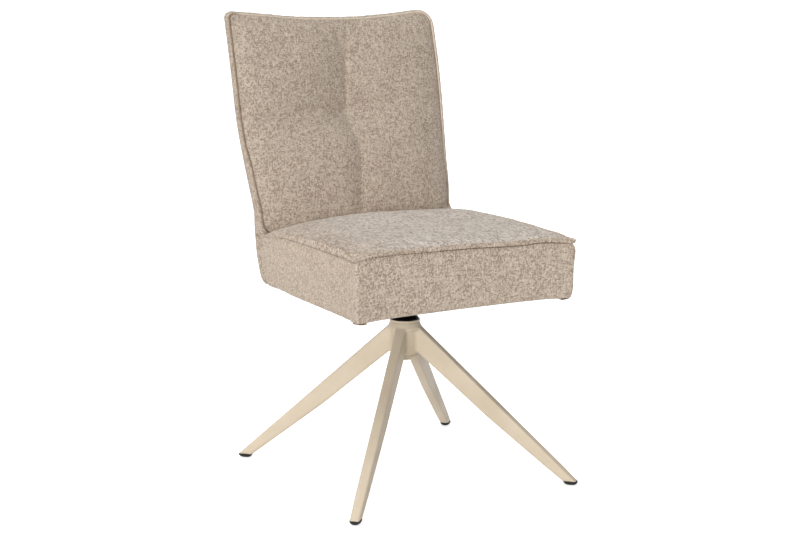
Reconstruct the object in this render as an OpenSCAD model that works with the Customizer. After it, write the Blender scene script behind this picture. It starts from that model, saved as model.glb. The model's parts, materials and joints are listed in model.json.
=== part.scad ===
// Swivel dining chair: a four-legged steel base, a spindle that turns in it,
// and an upholstered seat box with a tall, tucked back.
// The front of the seat faces -Y, the swivel axis is the Z axis, and the floor is z = 0.
// Left and right are those of the person who sits in the chair.

/* [Base] */
// Distance from the swivel axis to the middle of each glide
foot_r = 330; // [250:1:380]
// Slope of the legs' upper faces, in degrees
leg_slope = 42.5; // [39:0.5:44]
// Width of a leg
leg_w = 20; // [16:0.5:24]
// Length of a leg's level end, along the leg
foot_len = 27; // [22:0.5:32]
// Depth of a leg at its knee, square to its upper face
knee_depth = 33.5; // [26:0.5:36]
// Depth of a leg at the hub, square to its upper face
root_depth = 40; // [34:0.5:44]
// Distance from the axis to the knee, where the lower face bends
knee_r = 188; // [150:1:220]
// Radius of a leg's long edges
leg_edge = 2.5; // [1.5:0.1:4]

/* [Hub] */
// Outer radius of the hub tube
tube_r = 26; // [25:0.5:28]
// Height of the hub tube's lower end
tube_z = 235; // [225:1:240]
// Largest radius of the collar
collar_r = 33.2; // [31:0.1:36]
// Radius of the collar's upper rim
rim_r = 28.8; // [28:0.1:30]
// Height of the collar
collar_h = 15; // [12:0.5:20]
// Height of the collar's upper rim
rim_z = 303; // [300:1:306]
// Radius of the hub's bore
bore_r = 22; // [19:0.5:23]

/* [Swivel] */
// Radius of the spindle
spindle_r = 14; // [11:0.5:16]
// Thickness of the upper bush's flange
bush_flange = 2.6; // [2:0.1:4]
// Length of each bush in the bore
bush_len = 22; // [15:1:28]
// Outer radius of the neck above the hub
neck_r = 18; // [17:0.5:22]
// Side of the square swivel plate
plate_w = 170; // [150:1:176]
// Thickness of the swivel plate
plate_t = 4; // [3:0.5:6]
// Distance between neighbouring plate bolts
bolt_pitch = 130; // [110:1:138]

/* [Seat] */
// Width of the seat box
seat_w = 458; // [420:1:500]
// Distance from the swivel axis to the front of the seat box
seat_front = 232; // [215:1:250]
// Height of the seat box's lower edge
apron_z = 370; // [366:1:400]
// Height of the fabric border, up to the top seam
apron_h = 106; // [96:1:120]
// Rise of the crowned seat over its welt
crown = 20; // [8:0.5:30]
// Radius of the welt round the top of the seat
welt_r = 4; // [3:0.1:5]
// Height of the wooden rails
rail_h = 58; // [45:1:62]
// Thickness of the wooden rails
rail_t = 18; // [15:0.5:24]
// Thickness of the plywood board under the seat
board_t = 15; // [12:0.5:18]

/* [Back] */
// Height of the back's upper corners
back_top = 877; // [820:1:940]
// Width of the back at its top
back_w = 454; // [420:1:490]
// How far the back's top edge dips in the middle
back_dip = 12; // [4:0.5:20]
// Radius of the back's upper corners
back_corner = 22; // [14:0.5:30]
// How much each side of the back is drawn in above the seat
waist = 10.5; // [0:0.5:14]
// Distance from the swivel axis to the rear face's foot
rear_foot = 160; // [150:1:180]
// How far the back's top lies behind the rear face's foot
lean = 157; // [120:1:190]
// Thickness of the back along its edges
band_d = 24; // [22:0.5:30]
// Thickness of the moulded plywood back
shell_t = 11; // [9:0.5:12]
// Rise of the padded face over its edge seam, at the lumbar
lumbar = 28; // [15:0.5:36]
// Depth of the sewn tuck down the middle of the face
tuck = 16; // [4:0.5:22]
// Radius of the piping round the face
pipe_r = 3; // [2:0.1:4]

/* [Hidden] */
$fn = 64;

// Colours
paint = [0.86, 0.79, 0.69];
weave = [0.73, 0.67, 0.60];
black = [0.05, 0.05, 0.05];
steel = [0.62, 0.63, 0.65];
ply = [0.80, 0.66, 0.46];
beech = [0.76, 0.58, 0.38];
foam = [0.93, 0.90, 0.76];

// Clearances and cuts
over = 1;
slice = 0.2;
gap = 0.3;
running = 0.05;
seated = 0.05;
axial = 0.1;

// Base
glide_h = 6.5;
glide_lip = 1.2;
glide_round = 5;
glide_chamfer = 1.2;
spigot_r = 4;
spigot_h = 6;
root_r = tube_r - 4;
collar_under = 4;
rim_round = 1;
top_r = foot_r + foot_len / 2;

// Swivel
bush_head_z = rim_z + bush_flange;
bush_lip = 0.6;
bush_round = 1.2;
low_flange = 2;
low_flange_r = 24.5;
washer_t = 2;
washer_r = 21;
ring_t = 1.5;
ring_r = 17.5;
ring_gap = 9;
groove_depth = 1.5;
spindle_tail = 3.5;
spindle_chamfer = 1;
neck_flange_r = 27;
neck_flange_t = 4;
plate_round = 14;
bolt_r = 4;
bolt_clear = 0.3;
bolt_head_r = 7;
bolt_head_h = 4.4;
bolt_tip = 2;
hex_r = 2.9;
hex_depth = 2.4;
tee_r = 5.5;
tee_flange_r = 9.5;
tee_flange_t = 1.4;
tee_len = 11;

// Fabric and frame heights
cover_t = 2;
border_t = 4.5;
hem_w = 24;
frame_z = apron_z + cover_t;
rail_top = frame_z + rail_h;
plate_z = frame_z - plate_t;
seam_z = apron_z + apron_h;
dust_t = 0.8;
dust_in = 14;
window_play = 5;
block_w = 48;
block_h = 36;
strap_w = 48;
strap_t = 1.5;
strap_count = 4;
strap_in = 4;

// Seat outline
half_w = seat_w / 2;
inner_w = half_w - border_t - gap;
inner_front = -seat_front + border_t + gap;
border_bulge = 3;
border_draw = 3;
seam_rear_drop = 18;
seam_rear_run = 166;
seam_corner_dip = 5;
seam_corner_run = 38;
heel_r = 15;
seat_rear = 166;
draw_run = 34;
draw_play = 16;
foam_play = 0.9;
mitre_gap = 0.9;
shell_gap = 0.9;

// Back outline, as shares of the height and of the lean
line_shares = [[0, 0], [0.26, 0.335], [0.53, 0.62], [0.79, 0.81], [1, 1]];
face_drop = 10;
face_z = seam_z - face_drop;
waist_lift = 24;
waist_z = seam_z + waist_lift;
waist_run = 200;
tuck_w = 26;
tuft_share = 0.5;
corner_share = 0.994;
tuft_run = 0.11;
tuft_depth = 12;
bulge_shares = [[0, 0.08], [0.12, 0.86], [0.3, 1], [0.5, 0.8], [0.75, 0.62], [0.93, 0.5], [1, 0.02]];
shell_lift = 22;
shell_z = apron_z + shell_lift;
screw_r = 2.5;
screw_head_r = 5;
screw_head_t = 3;
screw_len = 34;
screw_lift = 44;
screw_z = apron_z + screw_lift;
screw_places_shares = [-0.75, -0.27, 0.27, 0.75];

// Grids
face_rows = 16;
face_cols = 18;
seat_rows = 14;
seat_cols = 14;
border_rows = 5;
border_cols = 12;
draw_cols = 4;
rear_rows = 12;
rear_shares = [1, 0.985, 0.95, 0.89, 0.5, 0];
bead_sides = 8;

// Curves
function unit(v) = v / norm(v);
function clamp(a) = max(0, min(1, a));
function ease(a) = let(b = clamp(a)) b * b * (3 - 2 * b);
function slope_at(t, i) = let(a = max(0, i - 1), b = min(len(t) - 1, i + 1))
  (t[b][1] - t[a][1]) / (t[b][0] - t[a][0]);
function span_of(t, x) = max([for (i = [0:len(t) - 2]) if (i == 0 || t[i][0] <= x) i]);
// Smooth curve through a table of shares
function curve(t, x) = let(
    i = span_of(t, x),
    w = t[i + 1][0] - t[i][0],
    u = (x - t[i][0]) / w,
    a = slope_at(t, i) * w,
    b = slope_at(t, i + 1) * w,
    u2 = u * u,
    u3 = u2 * u)
  (2 * u3 - 3 * u2 + 1) * t[i][1] + (u3 - 2 * u2 + u) * a
    + (3 * u2 - 2 * u3) * t[i + 1][1] + (u3 - u2) * b;

// Rear face of the back in side view, from the seat's lower edge to the top
function rear_y(z) = rear_foot + lean * curve(line_shares, (z - apron_z) / (back_top - apron_z));
function edge_y(z) = rear_y(z) - band_d;
// The same line with the rounded heel under the seat
function heel_y(z) = let(h = max(0, heel_r - (z - apron_z)))
  rear_y(z) - heel_r + sqrt(heel_r * heel_r - h * h);
// Half the back's width at a height
function back_half(z) = back_w / 2 - waist * (1 - ease((z - waist_z) / waist_run));
// Height of the back's top edge, drawn in by d, at a distance x from the middle
function top_drop(x, d) = let(
    half = back_w / 2 - d,
    r = max(back_corner - d, gap),
    k = max(0, abs(x) - half + r))
  r - sqrt(max(0, r * r - k * k));
function top_z(x, d) = back_top - d - back_dip * (1 - pow(min(1, 2 * abs(x) / back_w), 2)) - top_drop(x, d);
// Half the seat box's width, drawn in behind the rails to meet the back
function box_half(y) = half_w - (half_w - back_half(seam_z)) * ease((y - draw_y) / draw_run);
// Height of the seat's top seam at a place on its outline
function seam_at(x, y) = seam_z
  - seam_rear_drop * pow(clamp((y - seat_rear + seam_rear_run) / seam_rear_run), 1.7)
  - seam_corner_dip * exp(-pow(norm([half_w - abs(x), y + seat_front]) / seam_corner_run, 2));
// Rows of the borders lie closer towards the heel
function border_share(i) = pow(i / border_rows, 1.7);

// A closed sheet between two grids of points with as many rows and columns
module sheet(a, b) {
  rows = len(a);
  cols = len(a[0]);
  n = rows * cols;
  i = floor(rows / 2);
  j = floor(cols / 2);
  out = cross(a[i][j] - a[i][j - 1], a[i][j] - a[i - 1][j]) * (a[i][j] - b[i][j]) > 0;
  function at(r, c, k) = k * n + r * cols + c;
  skins = [for (r = [0:rows - 2], c = [0:cols - 2], k = [0, 1]) let(
      q = [at(r, c, k), at(r, c + 1, k), at(r + 1, c + 1, k), at(r + 1, c, k)],
      p = k == 0 ? q : [q[0], q[3], q[2], q[1]])
    each [[p[0], p[1], p[2]], [p[0], p[2], p[3]]]];
  ends = [for (r = [0:rows - 2], c = [0, cols - 1]) let(
      q = [at(r, c, 0), at(r + 1, c, 0), at(r + 1, c, 1), at(r, c, 1)],
      p = c == 0 ? q : [q[3], q[2], q[1], q[0]])
    each [[p[0], p[1], p[2]], [p[0], p[2], p[3]]]];
  sides = [for (c = [0:cols - 2], r = [0, rows - 1]) let(
      q = [at(r, c, 0), at(r, c, 1), at(r, c + 1, 1), at(r, c + 1, 0)],
      p = r == 0 ? q : [q[3], q[2], q[1], q[0]])
    each [[p[0], p[1], p[2]], [p[0], p[2], p[3]]]];
  polyhedron(
    points = [for (g = [a, b], row = g, p = row) p],
    faces = [for (f = concat(skins, ends, sides)) out ? [f[2], f[1], f[0]] : f]);
}

// A round bead along a path; aside is never along the path
module bead(path, r, aside) {
  n = len(path);
  s = bead_sides;
  rings = [for (i = [0:n - 1]) let(
      t = unit(path[min(n - 1, i + 1)] - path[max(0, i - 1)]),
      u = unit(cross(t, aside)),
      v = cross(t, u))
    each [for (k = [0:s - 1]) path[i] + r * (cos(360 * k / s) * u + sin(360 * k / s) * v)]];
  skin = [for (i = [0:n - 2], k = [0:s - 1]) let(
      a = i * s + k,
      b = i * s + (k + 1) % s)
    each [[a, a + s, b + s], [a, b + s, b]]];
  caps = [for (k = [1:s - 2]) each [[0, k, k + 1], [(n - 1) * s, (n - 1) * s + k + 1, (n - 1) * s + k]]];
  polyhedron(points = rings, faces = concat(skin, caps));
}

// Rectangle with round corners
module plate(w, d, r) {
  square([w - 2 * r, d], center = true);
  square([w, d - 2 * r], center = true);
  for (x = [-1, 1], y = [-1, 1]) translate([x * (w / 2 - r), y * (d / 2 - r)]) circle(r = r);
}

// Height of the legs' upper face over a place on the radius
function leg_top(r) = glide_h + (top_r - r) * tan(leg_slope);

// Base
module leg(angle) color(paint) difference() {
  rotate([0, 0, angle]) difference() {
    hull() {
      translate([foot_r, 0, glide_h]) linear_extrude(slice) plate(foot_len, leg_w, leg_edge, $fn = 32);
      translate([knee_r, 0, leg_top(knee_r)]) rotate([0, leg_slope, 0]) leg_slice(knee_depth);
      translate([root_r, 0, leg_top(root_r)]) leg_slice(root_depth / cos(leg_slope));
    }
    translate([foot_r, 0, glide_h - over]) cylinder(r = spigot_r, h = spigot_h + over);
  }
  hub_blank();
}

// Thin cross-section that hangs below the upper face
module leg_slice(depth) {
  rotate([0, 90, 0]) linear_extrude(slice) translate([depth / 2, 0]) plate(depth, leg_w, leg_edge, $fn = 32);
}

module hub_blank() {
  rotate_extrude() polygon([
    [0, tube_z], [tube_r, tube_z],
    [tube_r, rim_z - collar_h - collar_under], [collar_r, rim_z - collar_h],
    [rim_r, rim_z - rim_round], [rim_r - rim_round, rim_z], [0, rim_z]]);
}

module hub() color(paint) difference() {
  hub_blank();
  translate([0, 0, tube_z - over]) cylinder(r = bore_r, h = rim_z - tube_z + 2 * over);
}

module glide(angle) color(black) rotate([0, 0, angle]) translate([foot_r, 0, 0]) {
  translate([0, 0, glide_chamfer])
    linear_extrude(glide_h - glide_chamfer) plate(foot_len + glide_lip, leg_w + glide_lip, glide_round);
  linear_extrude(glide_chamfer)
    plate(foot_len + glide_lip - glide_chamfer, leg_w + glide_lip - glide_chamfer, glide_round);
  translate([0, 0, glide_h - slice]) cylinder(r = spigot_r - seated, h = spigot_h - over + slice);
}

// Swivel
module upper_bush() color(black) difference() {
  rotate_extrude() polygon(concat(
    [[0, rim_z - bush_len], [bore_r - seated, rim_z - bush_len], [bore_r - seated, rim_z],
      [rim_r - bush_lip, rim_z]],
    [for (a = [0:15:90]) [rim_r - bush_lip - bush_round + bush_round * cos(a),
      bush_head_z - bush_round + bush_round * sin(a)]],
    [[0, bush_head_z]]));
  translate([0, 0, rim_z - bush_len - over])
    cylinder(r = spindle_r + running, h = bush_len + bush_flange + 2 * over);
}

module lower_bush() color(black) difference() {
  union() {
    translate([0, 0, tube_z]) cylinder(r = bore_r - seated, h = bush_len);
    translate([0, 0, tube_z - low_flange]) cylinder(r = low_flange_r, h = low_flange);
  }
  translate([0, 0, tube_z - low_flange - over])
    cylinder(r = spindle_r + running, h = low_flange + bush_len + 2 * over);
}

washer_z = tube_z - low_flange - axial - washer_t;
ring_z = washer_z - ring_t - axial;
spindle_z = ring_z - spindle_tail;

module spindle() color(black) difference() {
  union() {
    translate([0, 0, spindle_z])
      cylinder(r1 = spindle_r - spindle_chamfer, r2 = spindle_r, h = spindle_chamfer);
    translate([0, 0, spindle_z + spindle_chamfer])
      cylinder(r = spindle_r, h = plate_z - spindle_z - spindle_chamfer);
  }
  translate([0, 0, ring_z - axial]) difference() {
    cylinder(r = spindle_r + over, h = ring_t + 2 * axial);
    translate([0, 0, -over]) cylinder(r = spindle_r - groove_depth, h = ring_t + 2 * axial + 2 * over);
  }
}

module neck_sleeve() color(black) difference() {
  union() {
    translate([0, 0, bush_head_z + axial]) cylinder(r = neck_r, h = plate_z - bush_head_z - axial);
    translate([0, 0, plate_z - neck_flange_t]) cylinder(r = neck_flange_r, h = neck_flange_t);
  }
  translate([0, 0, bush_head_z]) cylinder(r = spindle_r + seated, h = plate_z - bush_head_z + over);
}

module retaining_washer() color(steel) translate([0, 0, washer_z]) difference() {
  cylinder(r = washer_r, h = washer_t);
  translate([0, 0, -over]) cylinder(r = spindle_r + seated, h = washer_t + 2 * over);
}

module retaining_ring() color(steel) translate([0, 0, ring_z]) difference() {
  cylinder(r = ring_r, h = ring_t);
  translate([0, 0, -over]) cylinder(r = spindle_r - groove_depth + seated, h = ring_t + 2 * over);
  translate([0, -ring_gap / 2, -over]) cube([ring_r + over, ring_gap, ring_t + 2 * over]);
}

module at_bolts() {
  for (x = [-1, 1], y = [-1, 1]) translate([x * bolt_pitch / 2, y * bolt_pitch / 2, 0]) children();
}

module swivel_plate() color(black) translate([0, 0, plate_z]) difference() {
  linear_extrude(plate_t) plate(plate_w, plate_w, plate_round);
  at_bolts() translate([0, 0, -over]) cylinder(r = bolt_r + bolt_clear, h = plate_t + 2 * over);
}

module plate_bolts() color(steel) at_bolts() difference() {
  union() {
    translate([0, 0, plate_z - bolt_head_h]) cylinder(r = bolt_head_r, h = bolt_head_h);
    translate([0, 0, plate_z - slice]) cylinder(r = bolt_r, h = slice + plate_t + board_t + bolt_tip);
  }
  translate([0, 0, plate_z - bolt_head_h - over]) cylinder(r = hex_r, h = hex_depth + over, $fn = 6);
}

module tee_nuts() color(steel) at_bolts() translate([0, 0, frame_z + board_t]) difference() {
  union() {
    cylinder(r = tee_flange_r, h = tee_flange_t);
    translate([0, 0, -tee_len]) cylinder(r = tee_r, h = tee_len + slice);
  }
  translate([0, 0, -tee_len - over]) cylinder(r = bolt_r + running, h = tee_len + tee_flange_t + 2 * over);
}

// Seat frame
inner_rail = inner_w - rail_t;
rail_end = rear_foot - heel_r - gap;
rear_rail_y = rail_end - rail_t;
draw_y = rail_end + draw_play;

module seat_board() color(ply) difference() {
  translate([-inner_rail, inner_front + rail_t, frame_z])
    cube([2 * inner_rail, rear_rail_y - inner_front - rail_t, board_t]);
  at_bolts() translate([0, 0, frame_z - over]) cylinder(r = tee_r + seated, h = board_t + 2 * over);
}

module front_rail() color(beech)
  translate([-inner_rail, inner_front, frame_z]) cube([2 * inner_rail, rail_t, rail_h]);

// Front face of the moulded back, in side view
function shell_front(z) = rear_y(z) - cover_t - shell_gap - shell_t;
// Curved strip in side view, between two distances behind the shell's front face
module ribbon(low, high, front, rear, n) {
  zs = [for (i = [0:n]) low + (high - low) * i / n];
  polygon(concat(
    [for (z = zs) [shell_front(z) + rear, z]],
    [for (i = [0:n]) let(z = zs[n - i]) [shell_front(z) + front, z]]));
}

// Puts a left-hand piece on the left, or its mirror image on the right
module on_side(side) {
  if (side > 0) children();
  else mirror([1, 0, 0]) children();
}

// Extrudes a side-view outline across the chair
module across(half) {
  rotate([90, 0, 90]) translate([0, 0, -half]) linear_extrude(2 * half) children();
}

rail_steps = 4;
module rear_rail() color(beech) difference() {
  across(inner_rail) polygon(concat(
    [[rear_rail_y, frame_z], [rail_end, frame_z]],
    [for (i = [0:rail_steps]) let(z = shell_z + (rail_top - shell_z) * i / rail_steps)
      [shell_front(z) - gap, z]],
    [[rear_rail_y, rail_top]]));
  at_screws() screw_body(screw_r + seated, over);
}

module side_rail(side) color(beech) on_side(side)
  translate([inner_rail + gap, inner_front, frame_z]) cube([rail_t - gap, rail_end - inner_front, rail_h]);

module corner_blocks() color(beech) translate([0, 0, frame_z + board_t]) linear_extrude(block_h)
  for (side = [-1, 1]) on_side(side) {
    translate([inner_rail, inner_front + rail_t]) polygon([[0, 0], [0, block_w], [-block_w, 0]]);
    translate([inner_rail, rear_rail_y]) polygon([[0, 0], [0, -block_w], [-block_w, 0]]);
  }

module seat_webbing() color(black) translate([0, 0, rail_top]) {
  reach = rail_end - inner_front;
  for (i = [0:strap_count - 1]) {
    x = (i + 0.5) * 2 * inner_rail / strap_count - inner_rail;
    y = (i + 0.5) * reach / strap_count + inner_front;
    translate([-inner_w + strap_in, y - strap_w / 2, 0])
      cube([2 * (inner_w - strap_in), strap_w, strap_t]);
    translate([x - strap_w / 2, inner_front + strap_in, strap_t - slice / 4])
      cube([strap_w, reach - 2 * strap_in, strap_t + slice / 4]);
  }
}

// Seat upholstery
edge_in = 2 * welt_r + gap;
crown_front = -seat_front + edge_in;
foam_z = rail_top + 2 * strap_t + gap;

// Rise of the crowned top over the middle of the welt
function crown_at(x, y) = let(
    u = clamp(1 - pow(abs(x) / (box_half(y) - edge_in), 2)),
    v = clamp((y - crown_front) / (seat_rear - crown_front)))
  crown * pow(u, 0.45) * pow(clamp(1 - pow(2 * v - 1, 6)), 0.6) * (0.82 + 0.18 * sin(180 * v));
function seat_x(j, y) = (box_half(y) - edge_in) * sin(90 * (2 * j / seat_cols - 1));
function seat_y(i) = let(v = i / seat_rows) crown_front + (seat_rear - crown_front) * (v - sin(360 * v) / 14);
function seat_top(x, y) = seam_at(x, y) + welt_r + crown_at(x, y);

module seat_cover() color(weave) {
  top = [for (i = [0:seat_rows]) [for (j = [0:seat_cols]) let(y = seat_y(i), x = seat_x(j, y))
    [x, y, seat_top(x, y) + cover_t / 2]]];
  sheet(top, [for (row = top) [for (p = row) p - [0, 0, cover_t]]]);
}

// Foam block: crowned under the cover, with a step that leaves room for the welt
module seat_foam() color(foam) {
  ys = concat([inner_front + foam_play, crown_front - gap / 2], [for (i = [0:seat_rows]) seat_y(i)]);
  top = [for (y = ys) let(
      wide = box_half(y),
      xs = concat([-wide + border_t + foam_play, -wide + edge_in - gap / 2],
        [for (j = [0:seat_cols]) seat_x(j, y)],
        [wide - edge_in + gap / 2, wide - border_t - foam_play]))
    [for (x = xs) [x, y, abs(x) > wide - edge_in || y < crown_front
      ? seam_at(x, y) - 2 * gap
      : seat_top(x, y) - cover_t / 2 - gap]]];
  sheet(top, [for (row = top) [for (p = row) [p[0], p[1], foam_z]]]);
}

welt_steps = 10;
// Plan of the welt along one side, from the rear to the front corner
function welt_side(side) = concat(
  [for (i = [seat_rows:-1:0]) [side * (box_half(seat_y(i)) - welt_r), seat_y(i)]],
  [for (a = [15:15:75]) [side * (half_w - edge_in + (welt_r + gap) * cos(a)),
    crown_front - (welt_r + gap) * sin(a)]]);
module seat_welt() color(weave) {
  left = welt_side(1);
  flat = concat(
    welt_side(-1),
    [for (i = [0:welt_steps]) [(half_w - edge_in) * (2 * i / welt_steps - 1), welt_r - seat_front]],
    [for (i = [len(left) - 1:-1:0]) left[i]]);
  bead([for (p = flat) [p[0], p[1], seam_at(p[0], p[1]) + welt_r]], welt_r, [0, 0, 1]);
}

// How far a border stands out from its seam, along and up the border
function puff(u, t) = border_bulge * sin(180 * pow(t, 0.8)) * pow(sin(180 * u), 0.4)
  - border_draw * pow(1 - t, 2);
function border_top(x, y) = seam_at(x, y) - 2 * gap - apron_z;

// Borders: a mitred hem under the rails, then the wall up to the welt
module front_border() color(weave) {
  places = [for (j = [0:border_cols]) 2 * j / border_cols - 1];
  hem = [for (s = places) [(half_w - hem_w - mitre_gap) * s, hem_w - seat_front, apron_z]];
  wall = [for (i = [0:border_rows]) let(t = border_share(i)) [for (s = places) let(
      x = s * (half_w - border_draw * pow(1 - t, 2)))
    [x, -seat_front - puff((s + 1) / 2, t), apron_z + t * border_top(x, -seat_front)]]];
  sheet(concat([hem], wall), concat(
    [[for (p = hem) p + [0, 0, cover_t]]],
    [for (row = wall) [for (p = row) [p[0], border_t - seat_front, max(p[2], frame_z)]]]));
}

// Place along a side border: columns lie closer where the box is drawn in
function side_y(j, z) = let(
    front = border_t + mitre_gap - seat_front,
    rear = heel_y(z),
    bend = min(draw_y, rear - draw_play),
    n = border_cols - draw_cols)
  j < n ? front + (bend - front) * pow(j / n, 1.4) : bend + (rear - bend) * (j - n) / draw_cols;

module side_border(side) color(weave) on_side(side) {
  places = [0:border_cols];
  hem_y = hem_w + mitre_gap - seat_front;
  hem = [for (j = places) let(u = (side_y(j, apron_z) + seat_front) / (rail_end + seat_front))
    [half_w - hem_w, hem_y + u * (rail_end - hem_w - hem_y), apron_z]];
  wall = [for (i = [0:border_rows]) let(t = border_share(i), z = apron_z + t * (apron_h - seam_rear_drop))
    [for (j = places) let(y = side_y(j, z), u = (y + seat_front) / (heel_y(z) + seat_front))
      [box_half(y) + puff(clamp(u), t), y, apron_z + t * border_top(half_w, y)]]];
  sheet(concat([hem], wall), concat(
    [[for (p = hem) p + [0, 0, cover_t]]],
    [for (row = wall) [for (p = row) [box_half(p[1]) - border_t, p[1], max(p[2], frame_z)]]]));
}

module dust_cover() color(black) translate([0, 0, apron_z - dust_t]) linear_extrude(dust_t) difference() {
  translate([-half_w + dust_in, -seat_front + dust_in])
    square([2 * (half_w - dust_in), rear_rail_y + rail_t / 2 + seat_front - dust_in]);
  plate(plate_w + 2 * window_play, plate_w + 2 * window_play, plate_round + window_play);
}

// Back
module at_screws() {
  for (s = screw_places_shares) translate([s * inner_rail, shell_front(screw_z), screw_z]) children();
}

module screw_body(r, extra) {
  translate([0, shell_t / 2, 0]) rotate([90, 0, 0]) cylinder(r = r, h = screw_len + extra);
}

outline_steps = 12;
// Front outline of the back, drawn in by d, from a height to the top
module back_outline(low, d) {
  high = back_top - back_corner;
  right = [for (i = [0:outline_steps]) let(z = low + (high - low) * i / outline_steps)
    [back_half(z) - d, z]];
  top = [for (i = [1:4 * outline_steps - 1]) let(
      x = (back_w / 2 - d) * sin(90 * (1 - i / (2 * outline_steps))))
    [x, top_z(x, d)]];
  left = [for (i = [outline_steps:-1:0]) [-right[i][0], right[i][1]]];
  polygon(concat(right, top, left));
}

shell_steps = 24;
module back_shell() color(ply) difference() {
  intersection() {
    across(back_w / 2) ribbon(shell_z, back_top, 0, shell_t, shell_steps);
    rotate([90, 0, 0]) translate([0, 0, -2 * back_w]) linear_extrude(4 * back_w)
      back_outline(shell_z - over, border_t + gap);
  }
  at_screws() {
    screw_body(screw_r + seated, over);
    rotate([-90, 0, 0]) translate([0, 0, shell_t / 2 - screw_head_t])
      cylinder(r = screw_head_r + seated, h = shell_t);
  }
}

module back_screws() color(steel) at_screws() {
  screw_body(screw_r, 0);
  rotate([-90, 0, 0]) translate([0, 0, shell_t / 2 - screw_head_t + seated])
    cylinder(r = screw_head_r, h = screw_head_t - seated);
}

pipe_in = 2 * pipe_r + gap;
// Place on the face's outline drawn in by d, as shares of its width and height
function face_at(s, t, d) = let(z = face_z + t * (top_z(s * (back_w / 2 - d), d) - face_z))
  [s * (back_half(z) - d), z];
// How far the face stands out from its edge seam
function swell(s, t) = let(
    x = s * back_w / 2,
    body = lumbar * curve(bulge_shares, t) * pow(clamp(1 - pow(abs(s), 2.6)), 0.6),
    run = ease(t / 0.08) * ease((0.93 - t) / 0.1),
    fold = tuck * run * exp(-pow(x / tuck_w, 2)),
    tuft = tuft_depth * exp(-pow(x / tuck_w, 2) - pow((t - tuft_share) / tuft_run, 2)))
  body - min(fold + tuft, body + gap);
function face_s(j) = sin(90 * (2 * j / face_cols - 1)) * 0.5 + (2 * j / face_cols - 1) * 0.5;
function face_point(s, t, d) = let(p = face_at(s, t, pipe_in))
  [p[0], edge_y(p[1]) - swell(s, t) + d, p[1]];

module back_face() color(weave) {
  front = [for (i = [0:face_rows]) [for (j = [0:face_cols]) face_point(face_s(j), i / face_rows, 0)]];
  sheet(front, [for (row = front) [for (p = row) p + [0, cover_t, 0]]]);
}

// Foam behind the face, set back round its edge to leave room for the piping
module back_foam() color(foam) {
  front = [for (i = [0:face_rows + 1]) [for (j = [-1:face_cols + 1]) let(
      aside = j < 0 || j > face_cols,
      above = i > face_rows,
      s = face_s(max(0, min(face_cols, j))) * (above && !aside ? corner_share : 1),
      t = min(i, face_rows) / face_rows * (aside && !above ? corner_share : 1),
      p = face_at(s, t, border_t + 2 * gap))
    aside || above ? [p[0], edge_y(p[1]) + pipe_r + 2 * gap, p[1]] : face_point(s, t, cover_t + gap)]];
  sheet(front, [for (row = front) [for (p = row) [p[0], shell_front(p[2]) - gap, p[2]]]]);
}

pipe_steps = 14;
module back_piping() color(weave) {
  high = back_top - back_corner;
  side = [for (i = [0:pipe_steps]) let(z = face_z + (high - face_z) * i / pipe_steps)
    [-back_half(z) + pipe_r, z]];
  half = back_w / 2 - pipe_r;
  r = back_corner - pipe_r;
  bend = [for (a = [15:15:75]) let(x = -half + r * (1 - cos(a))) [x, top_z(x, pipe_r)]];
  top = [for (i = [0:pipe_steps]) let(x = (half - r) * (2 * i / pipe_steps - 1)) [x, top_z(x, pipe_r)]];
  flat = concat(side, bend, top,
    [for (i = [len(bend) - 1:-1:0]) [-bend[i][0], bend[i][1]]],
    [for (i = [pipe_steps:-1:0]) [-side[i][0], side[i][1]]]);
  bead([for (p = flat) [p[0], edge_y(p[1]), p[1]]], pipe_r, [0, 1, 0]);
}

module back_band(side) color(weave) on_side(side) {
  low = seam_z - seam_rear_drop;
  high = back_top - back_corner - gap;
  outer = [for (i = [0:face_rows]) let(z = low + (high - low) * i / face_rows)
    [for (j = [0:2]) [back_half(z), edge_y(z) + pipe_r + gap
      + (band_d - pipe_r - gap) * j / 2, z]]];
  sheet(outer, [for (row = outer) [for (p = row) p - [border_t, 0, 0]]]);
}

// Half the rear panel's width, between the bands or the seat's borders
function rear_half(z) = min(back_half(z), box_half(rear_y(z))) - border_t - gap;
// Points of the rear panel, d inside its outer face: under the seat and round the heel,
// up the back, and over its top edge to the piping
function heel_at(s, d, a) = let(z = apron_z + d + (heel_r - d) * (1 - cos(a)))
  [s * rear_half(z), rear_y(z) - heel_r + (heel_r - d) * sin(a), z];
function rear_at(s, d, share) = let(
    low = apron_z + heel_r,
    side = cover_t + gap,
    z = low + share * (top_z(s * (back_w / 2 - side), side) - low))
  [s * rear_half(z), rear_y(z) - d, z];
function lid_at(s, d, share) = let(
    x = s * (back_w / 2 - d),
    z = top_z(x, d),
    front = edge_y(z) + pipe_r + gap)
  [x, front + share * (rear_y(z) - d - front), z];

module rear_cover() color(weave) {
  places = concat([for (s = rear_shares) -s], [for (i = [len(rear_shares) - 2:-1:0]) rear_shares[i]]);
  skins = [for (d = [0, cover_t]) concat(
    [[for (s = places) heel_at(s, d, 0) - [s * hem_w, hem_w, 0]]],
    [for (a = [0:30:60]) [for (s = places) heel_at(s, d, a)]],
    [for (i = [0:rear_rows]) [for (s = places) rear_at(s, d, i / rear_rows)]],
    [for (share = [1, 0]) [for (s = places) lid_at(s, d, share)]])];
  sheet(skins[0], skins[1]);
}

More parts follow.
